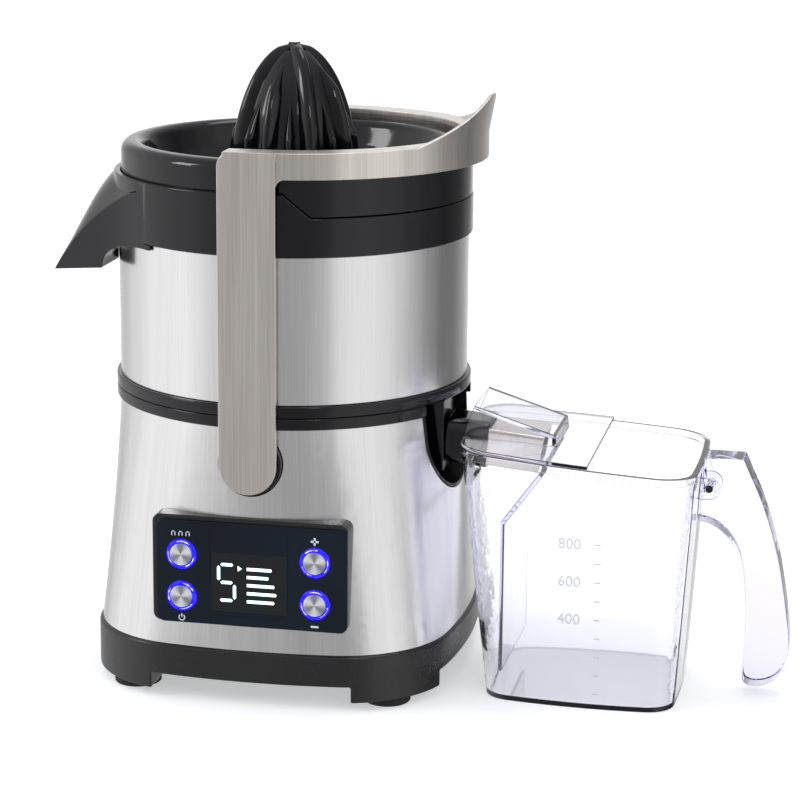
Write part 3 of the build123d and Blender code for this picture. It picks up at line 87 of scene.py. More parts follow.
def blank(name):
    """A material with nothing but its shader and output."""
    made = bpy.data.materials.new(name)
    made.use_nodes = True
    tree = made.node_tree
    tree.nodes.clear()
    shader = node(tree, "ShaderNodeBsdfPrincipled")
    output = node(tree, "ShaderNodeOutputMaterial", {"Surface": shader.outputs["BSDF"]})
    return made, tree, shader, output


def grain_at(tree, across_mm, along_mm):
    """Object coordinates stretched for a grain that runs upright."""
    place = node(tree, "ShaderNodeTexCoord")
    scale = (1000 / across_mm, 1000 / across_mm, 1000 / along_mm)
    return node(tree, "ShaderNodeMapping", {"Vector": place.outputs["Object"], "Scale": scale}).outputs[0]


def upright_grain(tree, line_mm, run_mm):
    """Direction from the machine's axis and height, so that upright lines keep their width all round."""
    place = node(tree, "ShaderNodeTexCoord").outputs["Object"]
    level = node(tree, "ShaderNodeVectorMath", {0: place, 1: (1, 1, 0)}, operation="MULTIPLY")
    outward = node(tree, "ShaderNodeVectorMath", {0: level.outputs[0]}, operation="NORMALIZE")
    around = node(tree, "ShaderNodeVectorMath", {0: outward.outputs[0], "Scale": GRAIN_R / line_mm},
                  operation="SCALE")
    upward = node(tree, "ShaderNodeVectorMath", {0: place, 1: (0, 0, 1000 / run_mm)}, operation="MULTIPLY")
    return node(tree, "ShaderNodeVectorMath", {0: around.outputs[0], 1: upward.outputs[0]}).outputs[0]


def two_tone(tree, factor, low, high, dark, light):
    """Colour that goes from dark to light while the factor goes from low to high."""
    blend = node(tree, "ShaderNodeMapRange", {"Value": factor, "From Min": low, "From Max": high})
    mix = node(tree, "ShaderNodeMix", {"Factor": blend.outputs[0]}, data_type="RGBA")
    mix.inputs[6].default_value = linear(dark)
    mix.inputs[7].default_value = linear(light)
    return mix.outputs[2]


def spread(tree, factor, low, high):
    """A number that goes from low to high over the factor's usual range."""
    return node(tree, "ShaderNodeMapRange", {"Value": factor, "From Min": 0.3, "From Max": 0.7,
                                             "To Min": low, "To Max": high}).outputs[0]


# ---------------------------------------------------------------- finishes
def brushed_metal(name, dark, light, roughness, line_mm, relief_mm):
    """Metal sheet brushed upright on a belt: fine upright lines and softer, wider bands of tone."""
    made, tree, shader, output = blank(name)
    line_place, band_place = upright_grain(tree, line_mm, LINE_RUN), upright_grain(tree, BAND_GAP, BAND_RUN)
    lines = node(tree, "ShaderNodeTexNoise", {"Vector": line_place, "Scale": 1.0, "Detail": 3.0})
    bands = node(tree, "ShaderNodeTexNoise", {"Vector": band_place, "Scale": 1.0, "Detail": 2.0})
    mixed = node(tree, "ShaderNodeMath", {0: lines.outputs[0], 1: bands.outputs[0]}, operation="ADD")
    half = node(tree, "ShaderNodeMath", {0: mixed.outputs[0], 1: 0.5}, operation="MULTIPLY")
    tree.links.new(two_tone(tree, half.outputs[0], 0.3, 0.7, dark, light), shader.inputs["Base Color"])
    dullness = spread(tree, half.outputs[0], roughness - 0.04, roughness + 0.04)
    tree.links.new(dullness, shader.inputs["Roughness"])
    bump = node(tree, "ShaderNodeBump", {"Height": lines.outputs[0], "Strength": 0.5,
                                         "Distance": relief_mm * MM})
    tree.links.new(bump.outputs[0], shader.inputs["Normal"])
    shader.inputs["Metallic"].default_value = 1.0
    return made


def moulded(name, dark, light, roughness, grain_mm, relief_mm, ior=1.5):
    """Injection-moulded plastic or rubber: an even colour with the tool's fine grain in it."""
    made, tree, shader, output = blank(name)
    grain = node(tree, "ShaderNodeTexNoise", {"Vector": grain_at(tree, grain_mm, grain_mm), "Scale": 1.0,
                                              "Detail": 3.0})
    wide = node(tree, "ShaderNodeTexNoise", {"Vector": grain_at(tree, WIDE_TONE, WIDE_TONE), "Scale": 1.0,
                                             "Detail": 2.0})
    tree.links.new(two_tone(tree, wide.outputs[0], 0.3, 0.7, dark, light), shader.inputs["Base Color"])
    dullness = spread(tree, grain.outputs[0], roughness * 0.85, roughness * 1.15)
    tree.links.new(dullness, shader.inputs["Roughness"])
    bump = node(tree, "ShaderNodeBump", {"Height": grain.outputs[0], "Strength": 0.6,
                                         "Distance": relief_mm * MM})
    tree.links.new(bump.outputs[0], shader.inputs["Normal"])
    shader.inputs["IOR"].default_value = ior
    return made


def clear_plastic(name, tint, roughness, absorb):
    """Clear moulded plastic: nearly invisible face on, violet where the eye looks along a wall."""
    made, tree, shader, output = blank(name)
    flow = node(tree, "ShaderNodeTexNoise", {"Vector": grain_at(tree, 30.0, 55.0), "Scale": 1.0,
                                             "Detail": 1.0})
    tree.links.new(spread(tree, flow.outputs[0], roughness, roughness + 0.03), shader.inputs["Roughness"])
    bump = node(tree, "ShaderNodeBump", {"Height": flow.outputs[0], "Strength": 0.3, "Distance": 0.12 * MM})
    tree.links.new(bump.outputs[0], shader.inputs["Normal"])
    shader.inputs["Base Color"].default_value = linear(tint)
    shader.inputs["IOR"].default_value = 1.49
    shader.inputs["Transmission Weight"].default_value = 1.0
    inside = node(tree, "ShaderNodeVolumeAbsorption", {"Color": linear("#a79cff"), "Density": absorb})
    tree.links.new(inside.outputs[0], output.inputs["Volume"])
    return made


def lit(name, dark, light, strength, patch_mm):
    """Plastic lit from behind, a little brighter where its light guide feeds it; also used as glowing paint
    for the painted glints on the button rings.
    """
    made, tree, shader, output = blank(name)
    patch = node(tree, "ShaderNodeTexNoise", {"Vector": grain_at(tree, patch_mm, patch_mm), "Scale": 1.0,
                                              "Detail": 1.0})
    tree.links.new(two_tone(tree, patch.outputs[0], 0.42, 0.66, dark, light), shader.inputs["Emission Color"])
    shader.inputs["Emission Strength"].default_value = strength
    shader.inputs["Base Color"].default_value = linear(dark)
    shader.inputs["Roughness"].default_value = 0.3
    return made


def spun(name, x_mm, z_mm):
    """Aluminium faced on a lathe: fine rings about the button's centre as bumps, and painted fan-shaped
    highlights in the colour, lighter and darker by angle round the centre.
    """
    made, tree, shader, output = blank(name)
    place = node(tree, "ShaderNodeTexCoord")
    centred = node(tree, "ShaderNodeMapping", {"Vector": place.outputs["Object"],
                                               "Location": (-x_mm * MM, 0, -z_mm * MM)})
    rings = node(tree, "ShaderNodeTexWave", {"Vector": centred.outputs[0], "Scale": 800.0, "Distortion": 0.4},
                 wave_type="RINGS", rings_direction="Y")
    faced = node(tree, "ShaderNodeMapping", {"Vector": centred.outputs[0], "Rotation": (pi / 2, 0, 0)})
    turn = node(tree, "ShaderNodeTexGradient", {"Vector": faced.outputs[0]}, gradient_type="RADIAL")
    # Painted highlights: the colour goes light and dark by angle round the cap's centre, in place of the
    # fan-shaped reflections that real lathe rings show.
    angle = node(tree, "ShaderNodeMath", {0: turn.outputs["Fac"], 1: FULL_TURN * PAINTED_FAN_COUNT},
                 operation="MULTIPLY")
    painted_fans = node(tree, "ShaderNodeMath", {0: angle.outputs[0]}, operation="SINE")
    tone = two_tone(tree, painted_fans.outputs[0], -0.9, 0.9, "#9a9ea8", "#fafbfd")
    tree.links.new(tone, shader.inputs["Base Color"])
    bump = node(tree, "ShaderNodeBump", {"Height": rings.outputs[0], "Strength": 0.7, "Distance": 0.05 * MM})
    tree.links.new(bump.outputs[0], shader.inputs["Normal"])
    shader.inputs["Metallic"].default_value = 0.8
    shader.inputs["Roughness"].default_value = 0.3
    return made


# Brushed 304 stainless sheet: cool light grey with a soft upright grain. The real lines are about 0.1 mm
# apart and are drawn at 0.5 mm so that they show.
stainless = brushed_metal("brushed_304_stainless", "#dddcdd", "#eeedee", 0.23, 0.5, 0.004)
# Brushed nickel-plated steel: the same grain with the plating's warm, slightly darker tone.
nickel = brushed_metal("brushed_nickel_plate", "#c9c2bc", "#efe9e3", 0.33, 0.6, 0.005)
# Turned and ground steel on shafts, bearings and screws: brighter and closer grained.
turned_steel = brushed_metal("turned_bearing_steel", "#a9abad", "#cfd1d3", 0.3, 0.8, 0.02)
# Motor laminations: dark varnished iron whose sheets show as fine edges.
motor_iron = brushed_metal("varnished_laminations", "#4a4845", "#6b6862", 0.5, 0.7, 0.05)
# Glossy black ABS: nearly black with a bluish cast and mirror-like highlights, as from a polished tool.
gloss_abs = moulded("glossy_black_abs", "#050509", "#0a0a12", 0.1, 9.0, 0.01, ior=1.46)
# Satin black ABS from a lightly sparked tool: soft highlights, for linings and inner covers.
satin_abs = moulded("satin_black_abs", "#121214", "#1b1b1e", 0.42, 0.9, 0.03)
# Black polypropylene of the pan: soft wide highlights over a fine leathered grain, drawn at 1.1 mm to show.
pan_plastic = moulded("grained_black_polypropylene", "#151517", "#1d1d1f", 0.3, 1.1, 0.02)
# Soft thermoplastic rubber: flat black-grey with no highlight.
soft_rubber = moulded("soft_tpe_rubber", "#161617", "#222224", 0.8, 0.8, 0.05)
# Natural nylon of the gears and bushes: creamy, slightly see-through white.
nylon = moulded("natural_nylon", "#cfccbd", "#dedbcd", 0.38, 1.5, 0.03)
# Green solder mask over copper: faint tone changes where the tracks run.
board_mask = moulded("green_solder_mask", "#0c3a1e", "#14522b", 0.3, 2.0, 0.05)
# Smoked acrylic of the control panel: navy black and very glossy.
smoked_acrylic = moulded("smoked_acrylic", "#040f1a", "#071624", 0.2, 12.0, 0.006, ior=1.36)
# Blank glass of the display: a shade greener and flatter than the panel about it.
display_glass = moulded("display_glass", "#03080b", "#050c10", 0.08, 20.0, 0.004)
# Clear SAN of the pitcher, lid and separator, with the violet tint that its thick edges show.
clear_san = clear_plastic("clear_san", "#fbfbfe", 0.01, 5.0)
# The handle is thicker and slightly frosted inside, so it looks milkier.
handle_san = clear_plastic("frosted_clear_san", "#f4f3fb", 0.03, 7.0)
# Blue light guide round each button, with paler patches near its light sources.
blue_light = lit("blue_light_guide", "#0d06f0", "#2f22ff", 1.7, 3.2)
# Painted glints: violet-white glowing colour for arcs that stand in for highlights on the rings, with painted
# highlight patches across it.
painted_glint_light = lit("violet_painted_glint", "#6f5cff", "#e4deff", 1.8, 2.0)
# Lit white segments of the display, and the printed white icons, which are duller.
white_segment = lit("lit_white_segment", "#c9f0f4", "#f4ffff", 1.6, 4.0)
white_print = moulded("white_screen_print", "#c4c9d6", "#d8dce6", 0.5, 0.6, 0.01)
# Raised marks on the pitcher: frosted, so they read as soft white on clear.
raised_mark = moulded("frosted_raised_mark", "#e9e9f0", "#f6f6fa", 0.55, 0.6, 0.02)
raised_mark.node_tree.nodes["Principled BSDF"].inputs["Transmission Weight"].default_value = 0.35
# Pale matt studio floor with barely visible mottling.
studio_floor = moulded("matt_white_floor", "#f3f3f4", "#f7f7f8", 0.9, 30.0, 0.01)

finish_of_slot = {
    "brushed_steel": stainless,
    "nickel": nickel,
    "black_gloss": gloss_abs,
    "black_satin": satin_abs,
    "pan_grey": pan_plastic,
    "rubber": soft_rubber,
    "plain_steel": turned_steel,
    "motor_iron": motor_iron,
    "board_green": board_mask,
    "button_aluminium": turned_steel,
    "light_blue": blue_light,
    "gear_nylon": nylon,
    "clear": clear_san,
}
for name, part in nodes.items():
    finish = finish_of_slot[slot_of[name]]
    if part.material_slots:
        for place in part.material_slots:
            place.material = finish
    else:
        part.data.materials.append(finish)


# ---------------------------------------------------------------- making pieces
def finished_mesh(piece):
    """The piece's mesh as its modifiers leave it."""
    return bpy.data.meshes.new_from_object(piece.evaluated_get(bpy.context.evaluated_depsgraph_get()))


def settle(piece, finish, body, replaced=(), bevel=0.0, steps=2, smooth=35, corner=28):
    """Merges, turns normals out, rounds the edges, shades and hands the piece to the frame."""
    work = bmesh.new()
    work.from_mesh(piece.data)
    bmesh.ops.remove_doubles(work, verts=work.verts, dist=MERGE_GAP)
    bmesh.ops.recalc_face_normals(work, faces=work.faces)
    work.to_mesh(piece.data)
    work.free()
    piece.data.materials.clear()
    piece.data.materials.append(finish)
    if bevel:
        rounding = piece.modifiers.new("rounding", "BEVEL")
        rounding.width = bevel * MM
        rounding.segments = steps
        rounding.limit_method = "ANGLE"
        rounding.angle_limit = radians(corner)
        rounding.use_clamp_overlap = False
        rounding.miter_outer = "MITER_ARC"
        settled = finished_mesh(piece)
        piece.modifiers.remove(rounding)
        piece.data = settled
    piece.data.shade_smooth()
    piece.data.set_sharp_from_angle(angle=radians(smooth))
    if bevel:
        evening = piece.modifiers.new("even_shading", "WEIGHTED_NORMAL")
        evening.keep_sharp = True
        settled = finished_mesh(piece)
        piece.modifiers.remove(evening)
        piece.data = settled
    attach(piece, body)
    if replaced:
        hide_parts(*replaced)
    return piece


def empty_piece(name, points, faces):
    """A mesh object from points in millimetres."""
    mesh = bpy.data.meshes.new(name)
    mesh.from_pydata([Vector(p) * MM for p in points], [], faces)
    piece = bpy.data.objects.new(name, mesh)
    scene.collection.objects.link(piece)
    return piece


def from_cad(name, piece_name, bevel, finish=None, steps=2, smooth=35, corner=28):
    """A merged copy of a CAD node with rounded edges and smooth shading, which stands for the node."""
    source = nodes[name]
    work = bmesh.new()
    work.from_mesh(source.data)
    bmesh.ops.remove_doubles(work, verts=work.verts, dist=MERGE_GAP)
    bmesh.ops.dissolve_limit(work, angle_limit=radians(0.4), verts=work.verts, edges=work.edges)
    mesh = bpy.data.meshes.new(piece_name)
    work.to_mesh(mesh)
    work.free()
    piece = bpy.data.objects.new(piece_name, mesh)
    scene.collection.objects.link(piece)
    return settle(piece, finish or finish_of_slot[slot_of[name]], body_of[name], [name],
                  bevel, steps, smooth, corner)


def turned_mesh(outline, count, arc=FULL_TURN):
    """Points and faces of a closed (radius, height) outline turned about the Z axis."""
    points, faces = [], []
    size = len(outline)
    closed = arc == FULL_TURN
    rows = count if closed else count + 1
    for i in range(rows):
        turn = arc * i / count
        points += [(r * cos(turn), r * sin(turn), z) for r, z in outline]
    for i in range(count):
        here, there = i * size, ((i + 1) % rows) * size
        faces += [(here + j, there + j, there + (j + 1) % size, here + (j + 1) % size) for j in range(size)]
    if not closed:
        faces += [tuple(range(size)), tuple(range((rows - 1) * size, rows * size))]
    return points, faces


def facing_front(points, x, z):
    """Points made about the Z axis, turned so that +Z looks to the front, and moved to a place on it."""
    return [(x + px, -pz, z + py) for px, py, pz in points]


def facing_front_at(x, y, z):
    """The same turn and move as a matrix."""
    return Matrix(((1, 0, 0, x * MM), (0, 0, -1, y * MM), (0, 1, 0, z * MM), (0, 0, 0, 1)))


def oblong(x_low, x_high, z_low, z_high):
    """Outline of a plain rectangle."""
    return [(x_low, z_low), (x_high, z_low), (x_high, z_high), (x_low, z_high)]


def prism(outline, y_low, y_high):
    """Points and faces of an (x, z) outline between two y values."""
    size = len(outline)
    points = [(x, y, z) for y in (y_low, y_high) for x, z in outline]
    faces = [tuple(range(size)), tuple(range(size, 2 * size))]
    faces += [(i, (i + 1) % size, size + (i + 1) % size, size + i) for i in range(size)]
    return points, faces


# ---------------------------------------------------------------- Geometry Nodes for what repeats
def rule_tree(name, inputs):
    """A geometry tree with the given named inputs and a group output."""
    tree = bpy.data.node_groups.new(name, "GeometryNodeTree")
    for label, kind, value in inputs:
        socket = tree.interface.new_socket(name=label, in_out="INPUT", socket_type=kind)
        if value is not None:
            socket.default_value = value
    tree.interface.new_socket(name="Geometry", in_out="OUTPUT", socket_type="NodeSocketGeometry")
    return tree, node(tree, "NodeGroupInput"), node(tree, "NodeGroupOutput")


def end_tree(tree, start, end, instances):
    """Every tree ends in Realize Instances and Set Material."""
    real = node(tree, "GeometryNodeRealizeInstances", {"Geometry": instances})
    painted = node(tree, "GeometryNodeSetMaterial", {"Geometry": real.outputs[0],
                                                     "Material": start.outputs["Finish"]})
    tree.links.new(painted.outputs[0], end.inputs[0])
    return tree


def ribs_round_axis():
    """Copies of one shape turned about the Z axis, evenly spaced."""
    tree, start, end = rule_tree("ribs_round_axis", [
        ("Shape", "NodeSocketObject", None), ("Count", "NodeSocketInt", 4),
        ("First Angle", "NodeSocketFloat", 0.0), ("Finish", "NodeSocketMaterial", None)])
    row = node(tree, "GeometryNodeMeshLine", {"Count": start.outputs["Count"], "Offset": (0, 0, 0)})
    step = node(tree, "ShaderNodeMath", {0: FULL_TURN, 1: start.outputs["Count"]}, operation="DIVIDE")
    index = node(tree, "GeometryNodeInputIndex")
    turn = node(tree, "ShaderNodeMath", {0: index.outputs[0], 1: step.outputs[0],
                                         2: start.outputs["First Angle"]}, operation="MULTIPLY_ADD")
    angles = node(tree, "ShaderNodeCombineXYZ", {"Z": turn.outputs[0]})
    shape = node(tree, "GeometryNodeObjectInfo", {"Object": start.outputs["Shape"], "As Instance": True})
    copies = node(tree, "GeometryNodeInstanceOnPoints", {
        "Points": row.outputs[0], "Instance": shape.outputs["Geometry"], "Rotation": angles.outputs[0]})
    return end_tree(tree, start, end, copies.outputs[0])


def row_of_bars():
    """Copies of one bar in a straight row, with lengths between two shares, drawn from a fixed seed."""
    tree, start, end = rule_tree("row_of_bars", [
        ("Shape", "NodeSocketObject", None), ("Count", "NodeSocketInt", 5),
        ("Step", "NodeSocketVector", (0, 0, 0)), ("Shortest", "NodeSocketFloat", 1.0),
        ("Longest", "NodeSocketFloat", 1.0), ("Seed", "NodeSocketInt", 7),
        ("Finish", "NodeSocketMaterial", None)])
    row = node(tree, "GeometryNodeMeshLine", {"Count": start.outputs["Count"],
                                              "Offset": start.outputs["Step"]})
    share = node(tree, "FunctionNodeRandomValue", {"Seed": start.outputs["Seed"]}, data_type="FLOAT")
    tree.links.new(start.outputs["Shortest"], share.inputs[2])
    tree.links.new(start.outputs["Longest"], share.inputs[3])
    sizes = node(tree, "ShaderNodeCombineXYZ", {"X": share.outputs[1], "Y": 1.0, "Z": 1.0})
    shape = node(tree, "GeometryNodeObjectInfo", {"Object": start.outputs["Shape"], "As Instance": True})
    copies = node(tree, "GeometryNodeInstanceOnPoints", {
        "Points": row.outputs[0], "Instance": shape.outputs["Geometry"], "Scale": sizes.outputs[0]})
    return end_tree(tree, start, end, copies.outputs[0])


def repeated(tree, name, shape, **inputs):
    """Runs a tree on one shape, which is then removed, and returns the result as a plain mesh object."""
    host = bpy.data.objects.new(name, bpy.data.meshes.new(name))
    scene.collection.objects.link(host)
    rule = host.modifiers.new("rule", "NODES")
    rule.node_group = tree
    inputs["Shape"] = shape
    for item in tree.interface.items_tree:
        if item.in_out == "INPUT" and item.name in inputs:
            rule[item.identifier] = inputs[item.name]
    mesh = finished_mesh(host)
    host.modifiers.remove(rule)
    host.data = mesh
    bpy.data.objects.remove(shape)
    return host


ribs_tree = ribs_round_axis()
bars_tree = row_of_bars()

# ---------------------------------------------------------------- motor base
from_cad("base_pan", "pan_with_legs", 0.9)
from_cad("bottom_cover", "slotted_bottom_cover", 0.3)
from_cad("body_shell", "steel_lower_shell", 0.45, corner=40)
from_cad("outlet_recess", "recess_lining", 0.3)
from_cad("top_deck", "lower_black_band", 0.9)
from_cad("cord_inlet", "cord_inlet_collar", 0.4)
from_cad("pivot_hubs", "arm_hub_discs", 0.8)
for place in ("front_left", "front_right", "rear_right", "rear_left"):
    from_cad(f"foot_{place}", f"rubber_foot_{place}", 0.4)

# ---------------------------------------------------------------- control panel
window_low, window_high = (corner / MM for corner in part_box("display_module"))
WINDOW_EDGE = 2.9  # how far the window reaches past the display
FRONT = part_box("panel_lens")[0].y / MM  # the lens's face
GLASS = FRONT + 0.5  # the display's face, a little behind it
from_cad("panel_housing", "panel_frame", 0.7)
from_cad("panel_lens", "panel_front", 0.25, smoked_acrylic)

window_outline = oblong(window_low.x - WINDOW_EDGE, window_high.x + WINDOW_EDGE,
                        window_low.z - WINDOW_EDGE, window_high.z + WINDOW_EDGE)
glass = empty_piece("display_window", *prism(window_outline, GLASS - 0.02, GLASS + 0.3))
settle(glass, display_glass, "base")


def flat_mark(name, outlines, finish, face=FRONT, proud=0.12):
    """Thin raised shapes on the panel, from (x, z) outlines."""
    points, faces = [], []
    for outline in outlines:
        more, sides = prism(outline, face - proud, face + 0.05)
        faces += [tuple(i + len(points) for i in side) for side in sides]
        points += more
    return settle(empty_piece(name, points, faces), finish, "base")


def bar(x_low, x_high, z_low, z_high):
    """Outline of a bar with pointed ends, as in a seven-segment digit, lying or standing."""
    if x_high - x_low > z_high - z_low:
        mid, tip = (z_low + z_high) / 2, (z_high - z_low) / 2
        return [(x_low, mid), (x_low + tip, z_low), (x_high - tip, z_low), (x_high, mid),
                (x_high - tip, z_high), (x_low + tip, z_high)]
    mid, tip = (x_low + x_high) / 2, (x_high - x_low) / 2
    return [(mid, z_low), (x_high, z_low + tip), (x_high, z_high - tip), (mid, z_high), (x_low, z_high - tip),
            (x_low, z_low + tip)]


def arc_band(x, z, radius, width, first, last):
    """Outline of a bent band about a centre, between two angles in degrees."""
    angles = [radians(first + (last - first) * i / ARC_STEPS) for i in range(ARC_STEPS + 1)]
    outer = [(x + (radius + width / 2) * cos(a), z + (radius + width / 2) * sin(a)) for a in angles]
    inner = [(x + (radius - width / 2) * cos(a), z + (radius - width / 2) * sin(a)) for a in reversed(angles)]
    return outer + inner


# A seven-segment 5 and the pointer beside it.
ARC_STEPS = 28
DIGIT_X = (-16.3, -7.5)
DIGIT_Z = (59.6, 69.6, 79.6)
SEGMENT = 1.7
left, right = DIGIT_X
low, middle, high = DIGIT_Z
half = SEGMENT / 2
digit = [
    bar(left + 1, right - 0.6, high - half, high + half),
    bar(left - half, left + half, middle + 1, high - 0.7),
    bar(left + 1, right - 1, middle - half, middle + half),
    bar(right - half, right + half, low + 0.7, middle - 1),
    bar(left + 0.6, right - 1, low - half, low + half)]
pointer = [(-5.6, 76.2), (-5.6, 79.4), (-3.3, 77.8)]
flat_mark("lit_digit_five", digit + [pointer], white_segment, GLASS)

line_bar = empty_piece("line_bar", *prism([(0, -0.85), (12.5, -0.85), (12.9, 0), (12.5, 0.85), (0, 0.85)],
                                          GLASS - 0.12, GLASS + 0.05))
lines = repeated(bars_tree, "readout_lines", line_bar, Count=5, Step=(0, 0, -4.55 * MM), Shortest=0.72,
                 Longest=1.3, Seed=11, Finish=white_segment)
lines.data.transform(Matrix.Translation(Vector((-0.6, 0, 77.8)) * MM))
settle(lines, white_segment, "base")

buttons = {"pulse": (-37.0, 84.0), "power": (-37.0, 60.5), "plus": (37.0, 84.0), "minus": (37.0, 60.5)}
PLUS = 2.1  # half length of the plus and minus strokes
STROKE = 0.55  # and their half width
ICON_DROP = 12.2  # icons below a button
WAVE_HALF = 1.3
x, z = buttons["plus"][0], buttons["plus"][1] + 11.9
flat_mark("plus_icon", [oblong(x - PLUS, x + PLUS, z - STROKE, z + STROKE),
                        oblong(x - STROKE, x + STROKE, z - PLUS, z + PLUS)], white_print)
z = buttons["minus"][1] - ICON_DROP
flat_mark("minus_icon", [oblong(x - PLUS, x + PLUS, z - STROKE, z + STROKE)], white_print)
x, z = buttons["power"][0], buttons["power"][1] - ICON_DROP
flat_mark("power_icon", [arc_band(x, z, 1.6, 0.55, 125, 415), oblong(x - 0.3, x + 0.3, z + 0.2, z + 2.2)],
          white_print)
# Short bursts: a plain square wave over the button that runs the motor while it is held.
x, z = buttons["pulse"][0], buttons["pulse"][1] + 11.6
wave = []
for burst in range(3):
    start = x - 5.4 + burst * 4
    wave += [oblong(start, start + 0.5, z - WAVE_HALF, z + WAVE_HALF),
             oblong(start, start + 2.3, z + 0.8, z + WAVE_HALF),
             oblong(start + 1.8, start + 2.3, z - WAVE_HALF, z + WAVE_HALF)]
flat_mark("burst_icon", wave, white_print)

# Thin raised beads beside and below the display, with a brighter edge.
beads = [oblong(x, x + 0.25, 57.0, 99.0) for x in (-21.4, 21.6)]
beads += [[(-20.0, 50.6), (20.4, 50.6), (19.4, 51.1), (-19.0, 51.1)]]
flat_mark("display_beads", beads, smoked_acrylic, proud=0.2)

CAP_R = 6.2
STEM_R = 2.4
CAP_BACK = 99  # the cap's back face, in front of the machine's axis
LIGHT_R = (6.6, 8.3)
cap_front = -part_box("button_pulse")[0].y / MM
stem_back = -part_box("button_pulse")[1].y / MM
light_front = -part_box("light_rings")[0].y / MM
light_back = -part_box("light_rings")[1].y / MM
cap_outline = [(0, stem_back), (STEM_R, stem_back), (STEM_R, CAP_BACK), (CAP_R, CAP_BACK),
               (CAP_R, cap_front - 0.7), (CAP_R - 0.2, cap_front - 0.3), (CAP_R - 0.7, cap_front - 0.1),
               (CAP_R - 1.2, cap_front - 0.12), (3.0, cap_front - 0.16), (0, cap_front - 0.18)]
guide_outline = [(LIGHT_R[0], light_back), (LIGHT_R[1], light_back), (LIGHT_R[1], light_front - 0.3),
                 (8.05, light_front), (7.75, light_front), (7.6, light_front - 0.35),
                 (7.3, light_front - 0.35), (7.15, light_front - 0.05), (6.85, light_front - 0.05),
                 (LIGHT_R[0], light_front - 0.3)]
guide_points, guide_faces = [], []
for label, (x, z) in buttons.items():
    points, faces = turned_mesh(cap_outline, 72)
    cap = empty_piece(f"spun_cap_{label}", facing_front(points, x, z), faces)
    settle(cap, spun(f"lathe_faced_aluminium_painted_fans_{label}", x, z), f"{label}_button",
           [f"button_{label}"])
    points, faces = turned_mesh(guide_outline, 72)
    guide_faces += [tuple(i + len(guide_points) for i in face) for face in faces]
    guide_points += facing_front(points, x, z)
    # Painted highlights: three thin glowing arcs on each ring, turned differently per button, stand in for
    # glints of light.
    glint = empty_piece("glint", *turned_mesh([(7.0, 0), (7.0, 0.12), (7.45, 0.12), (7.45, 0)], 14,
                                              radians(58)))
    painted_glints = repeated(ribs_tree, f"light_glints_{label}", glint, **{
        "Count": 3, "First Angle": radians(40 + 2 * x + z), "Finish": painted_glint_light})
    painted_glints.data.transform(facing_front_at(x, -(light_front - 0.06), z))
    settle(painted_glints, painted_glint_light, "base")
settle(empty_piece("button_light_guides", guide_points, guide_faces), blue_light, "base",
       ["light_rings"])

# ---------------------------------------------------------------- juice bowl and outlet
from_cad("juice_bowl", "juice_bowl_with_upper_band", 0.9)
sleeve_low, sleeve_high = (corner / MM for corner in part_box("bowl_sleeve"))
SLEEVE_R = sleeve_high.x
SLEEVE_WALL = 1.2
sleeve_outline = [(SLEEVE_R - 0.35, sleeve_low.z), (SLEEVE_R, sleeve_low.z + 0.4),
                  (SLEEVE_R, sleeve_high.z - 0.4), (SLEEVE_R - 0.35, sleeve_high.z),
                  (SLEEVE_R - SLEEVE_WALL, sleeve_high.z), (SLEEVE_R - SLEEVE_WALL, sleeve_low.z)]
sleeve = empty_piece("steel_bowl_sleeve", *turned_mesh(sleeve_outline, 192))
settle(sleeve, stainless, "base", ["bowl_sleeve"])
from_cad("outlet_tube", "outlet_cuff", 1.4, steps=3)
from_cad("outlet_spout", "metal_spout", 0.3, nickel)

# ---------------------------------------------------------------- citrus part
from_cad("pulp_collector", "pulp_collector_with_chute", 0.8, corner=32)
from_cad("citrus_bowl", "citrus_bowl_and_rim", 0.8, smooth=50)

reamer_low, reamer_high = (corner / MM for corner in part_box("reamer"))
REAMER_R = 37.0
REAMER_H = reamer_high.z - reamer_low.z
FIRST_RIB = radians(-59)
GROOVE_DEPTH = 6.5  # at the reamer's foot
GROOVE_RISE = 1.5  # how much shallower the grooves are at its tip
RIB_ROWS = 44
RIB_ACROSS = 10


def reamer_radius(z):
    """How far the rib crests stand from the axis at a height."""
    share = min(1.0, (z - reamer_low.z) / REAMER_H)
    return REAMER_R * sqrt(max(0.0, 1 - share * share))


def core_radius(z):
    """Bottom of the grooves between the ribs."""
    return max(0.0, reamer_radius(z) - GROOVE_DEPTH + GROOVE_RISE * (z - reamer_low.z) / REAMER_H)


def petal(name, top_z, half_width, rise):
    """One rib: a rounded petal that starts at the core at top_z and stands out further as it goes down."""
    rows, across = RIB_ROWS, RIB_ACROSS
    base_z = reamer_low.z + 1
    points, faces = [], []
    for i in range(rows + 1):
        share = 1 - (1 - i / rows) ** 1.6
        z = base_z + (top_z - base_z) * share
        core = max(core_radius(z) - 1.5, 0)
        crest = min(reamer_radius(z), core_radius(z) + rise * (top_z - z) + 0.2)
        width = half_width * (reamer_radius(z) / REAMER_R) ** 0.4 * min(1.0, 0.3 + (top_z - z) / 25)
        if rise > 1:
            width = half_width * max(0.22, reamer_radius(z) / REAMER_R) ** 0.4
        for j in range(across + 1):
            u = 2 * j / across - 1
            points.append((core + (crest - core) * (1 - abs(u) ** 2.3), width * u, z))
    size = across + 1
    for i in range(rows):
        for j in range(across):
            here = i * size + j
            faces.append((here, here + 1, here + size + 1, here + size))
        faces.append((i * size, (i + 1) * size, (i + 1) * size + across, i * size + across))
    faces += [tuple(range(size)), tuple(range(rows * size, (rows + 1) * size))]
    return empty_piece(name, points, faces)


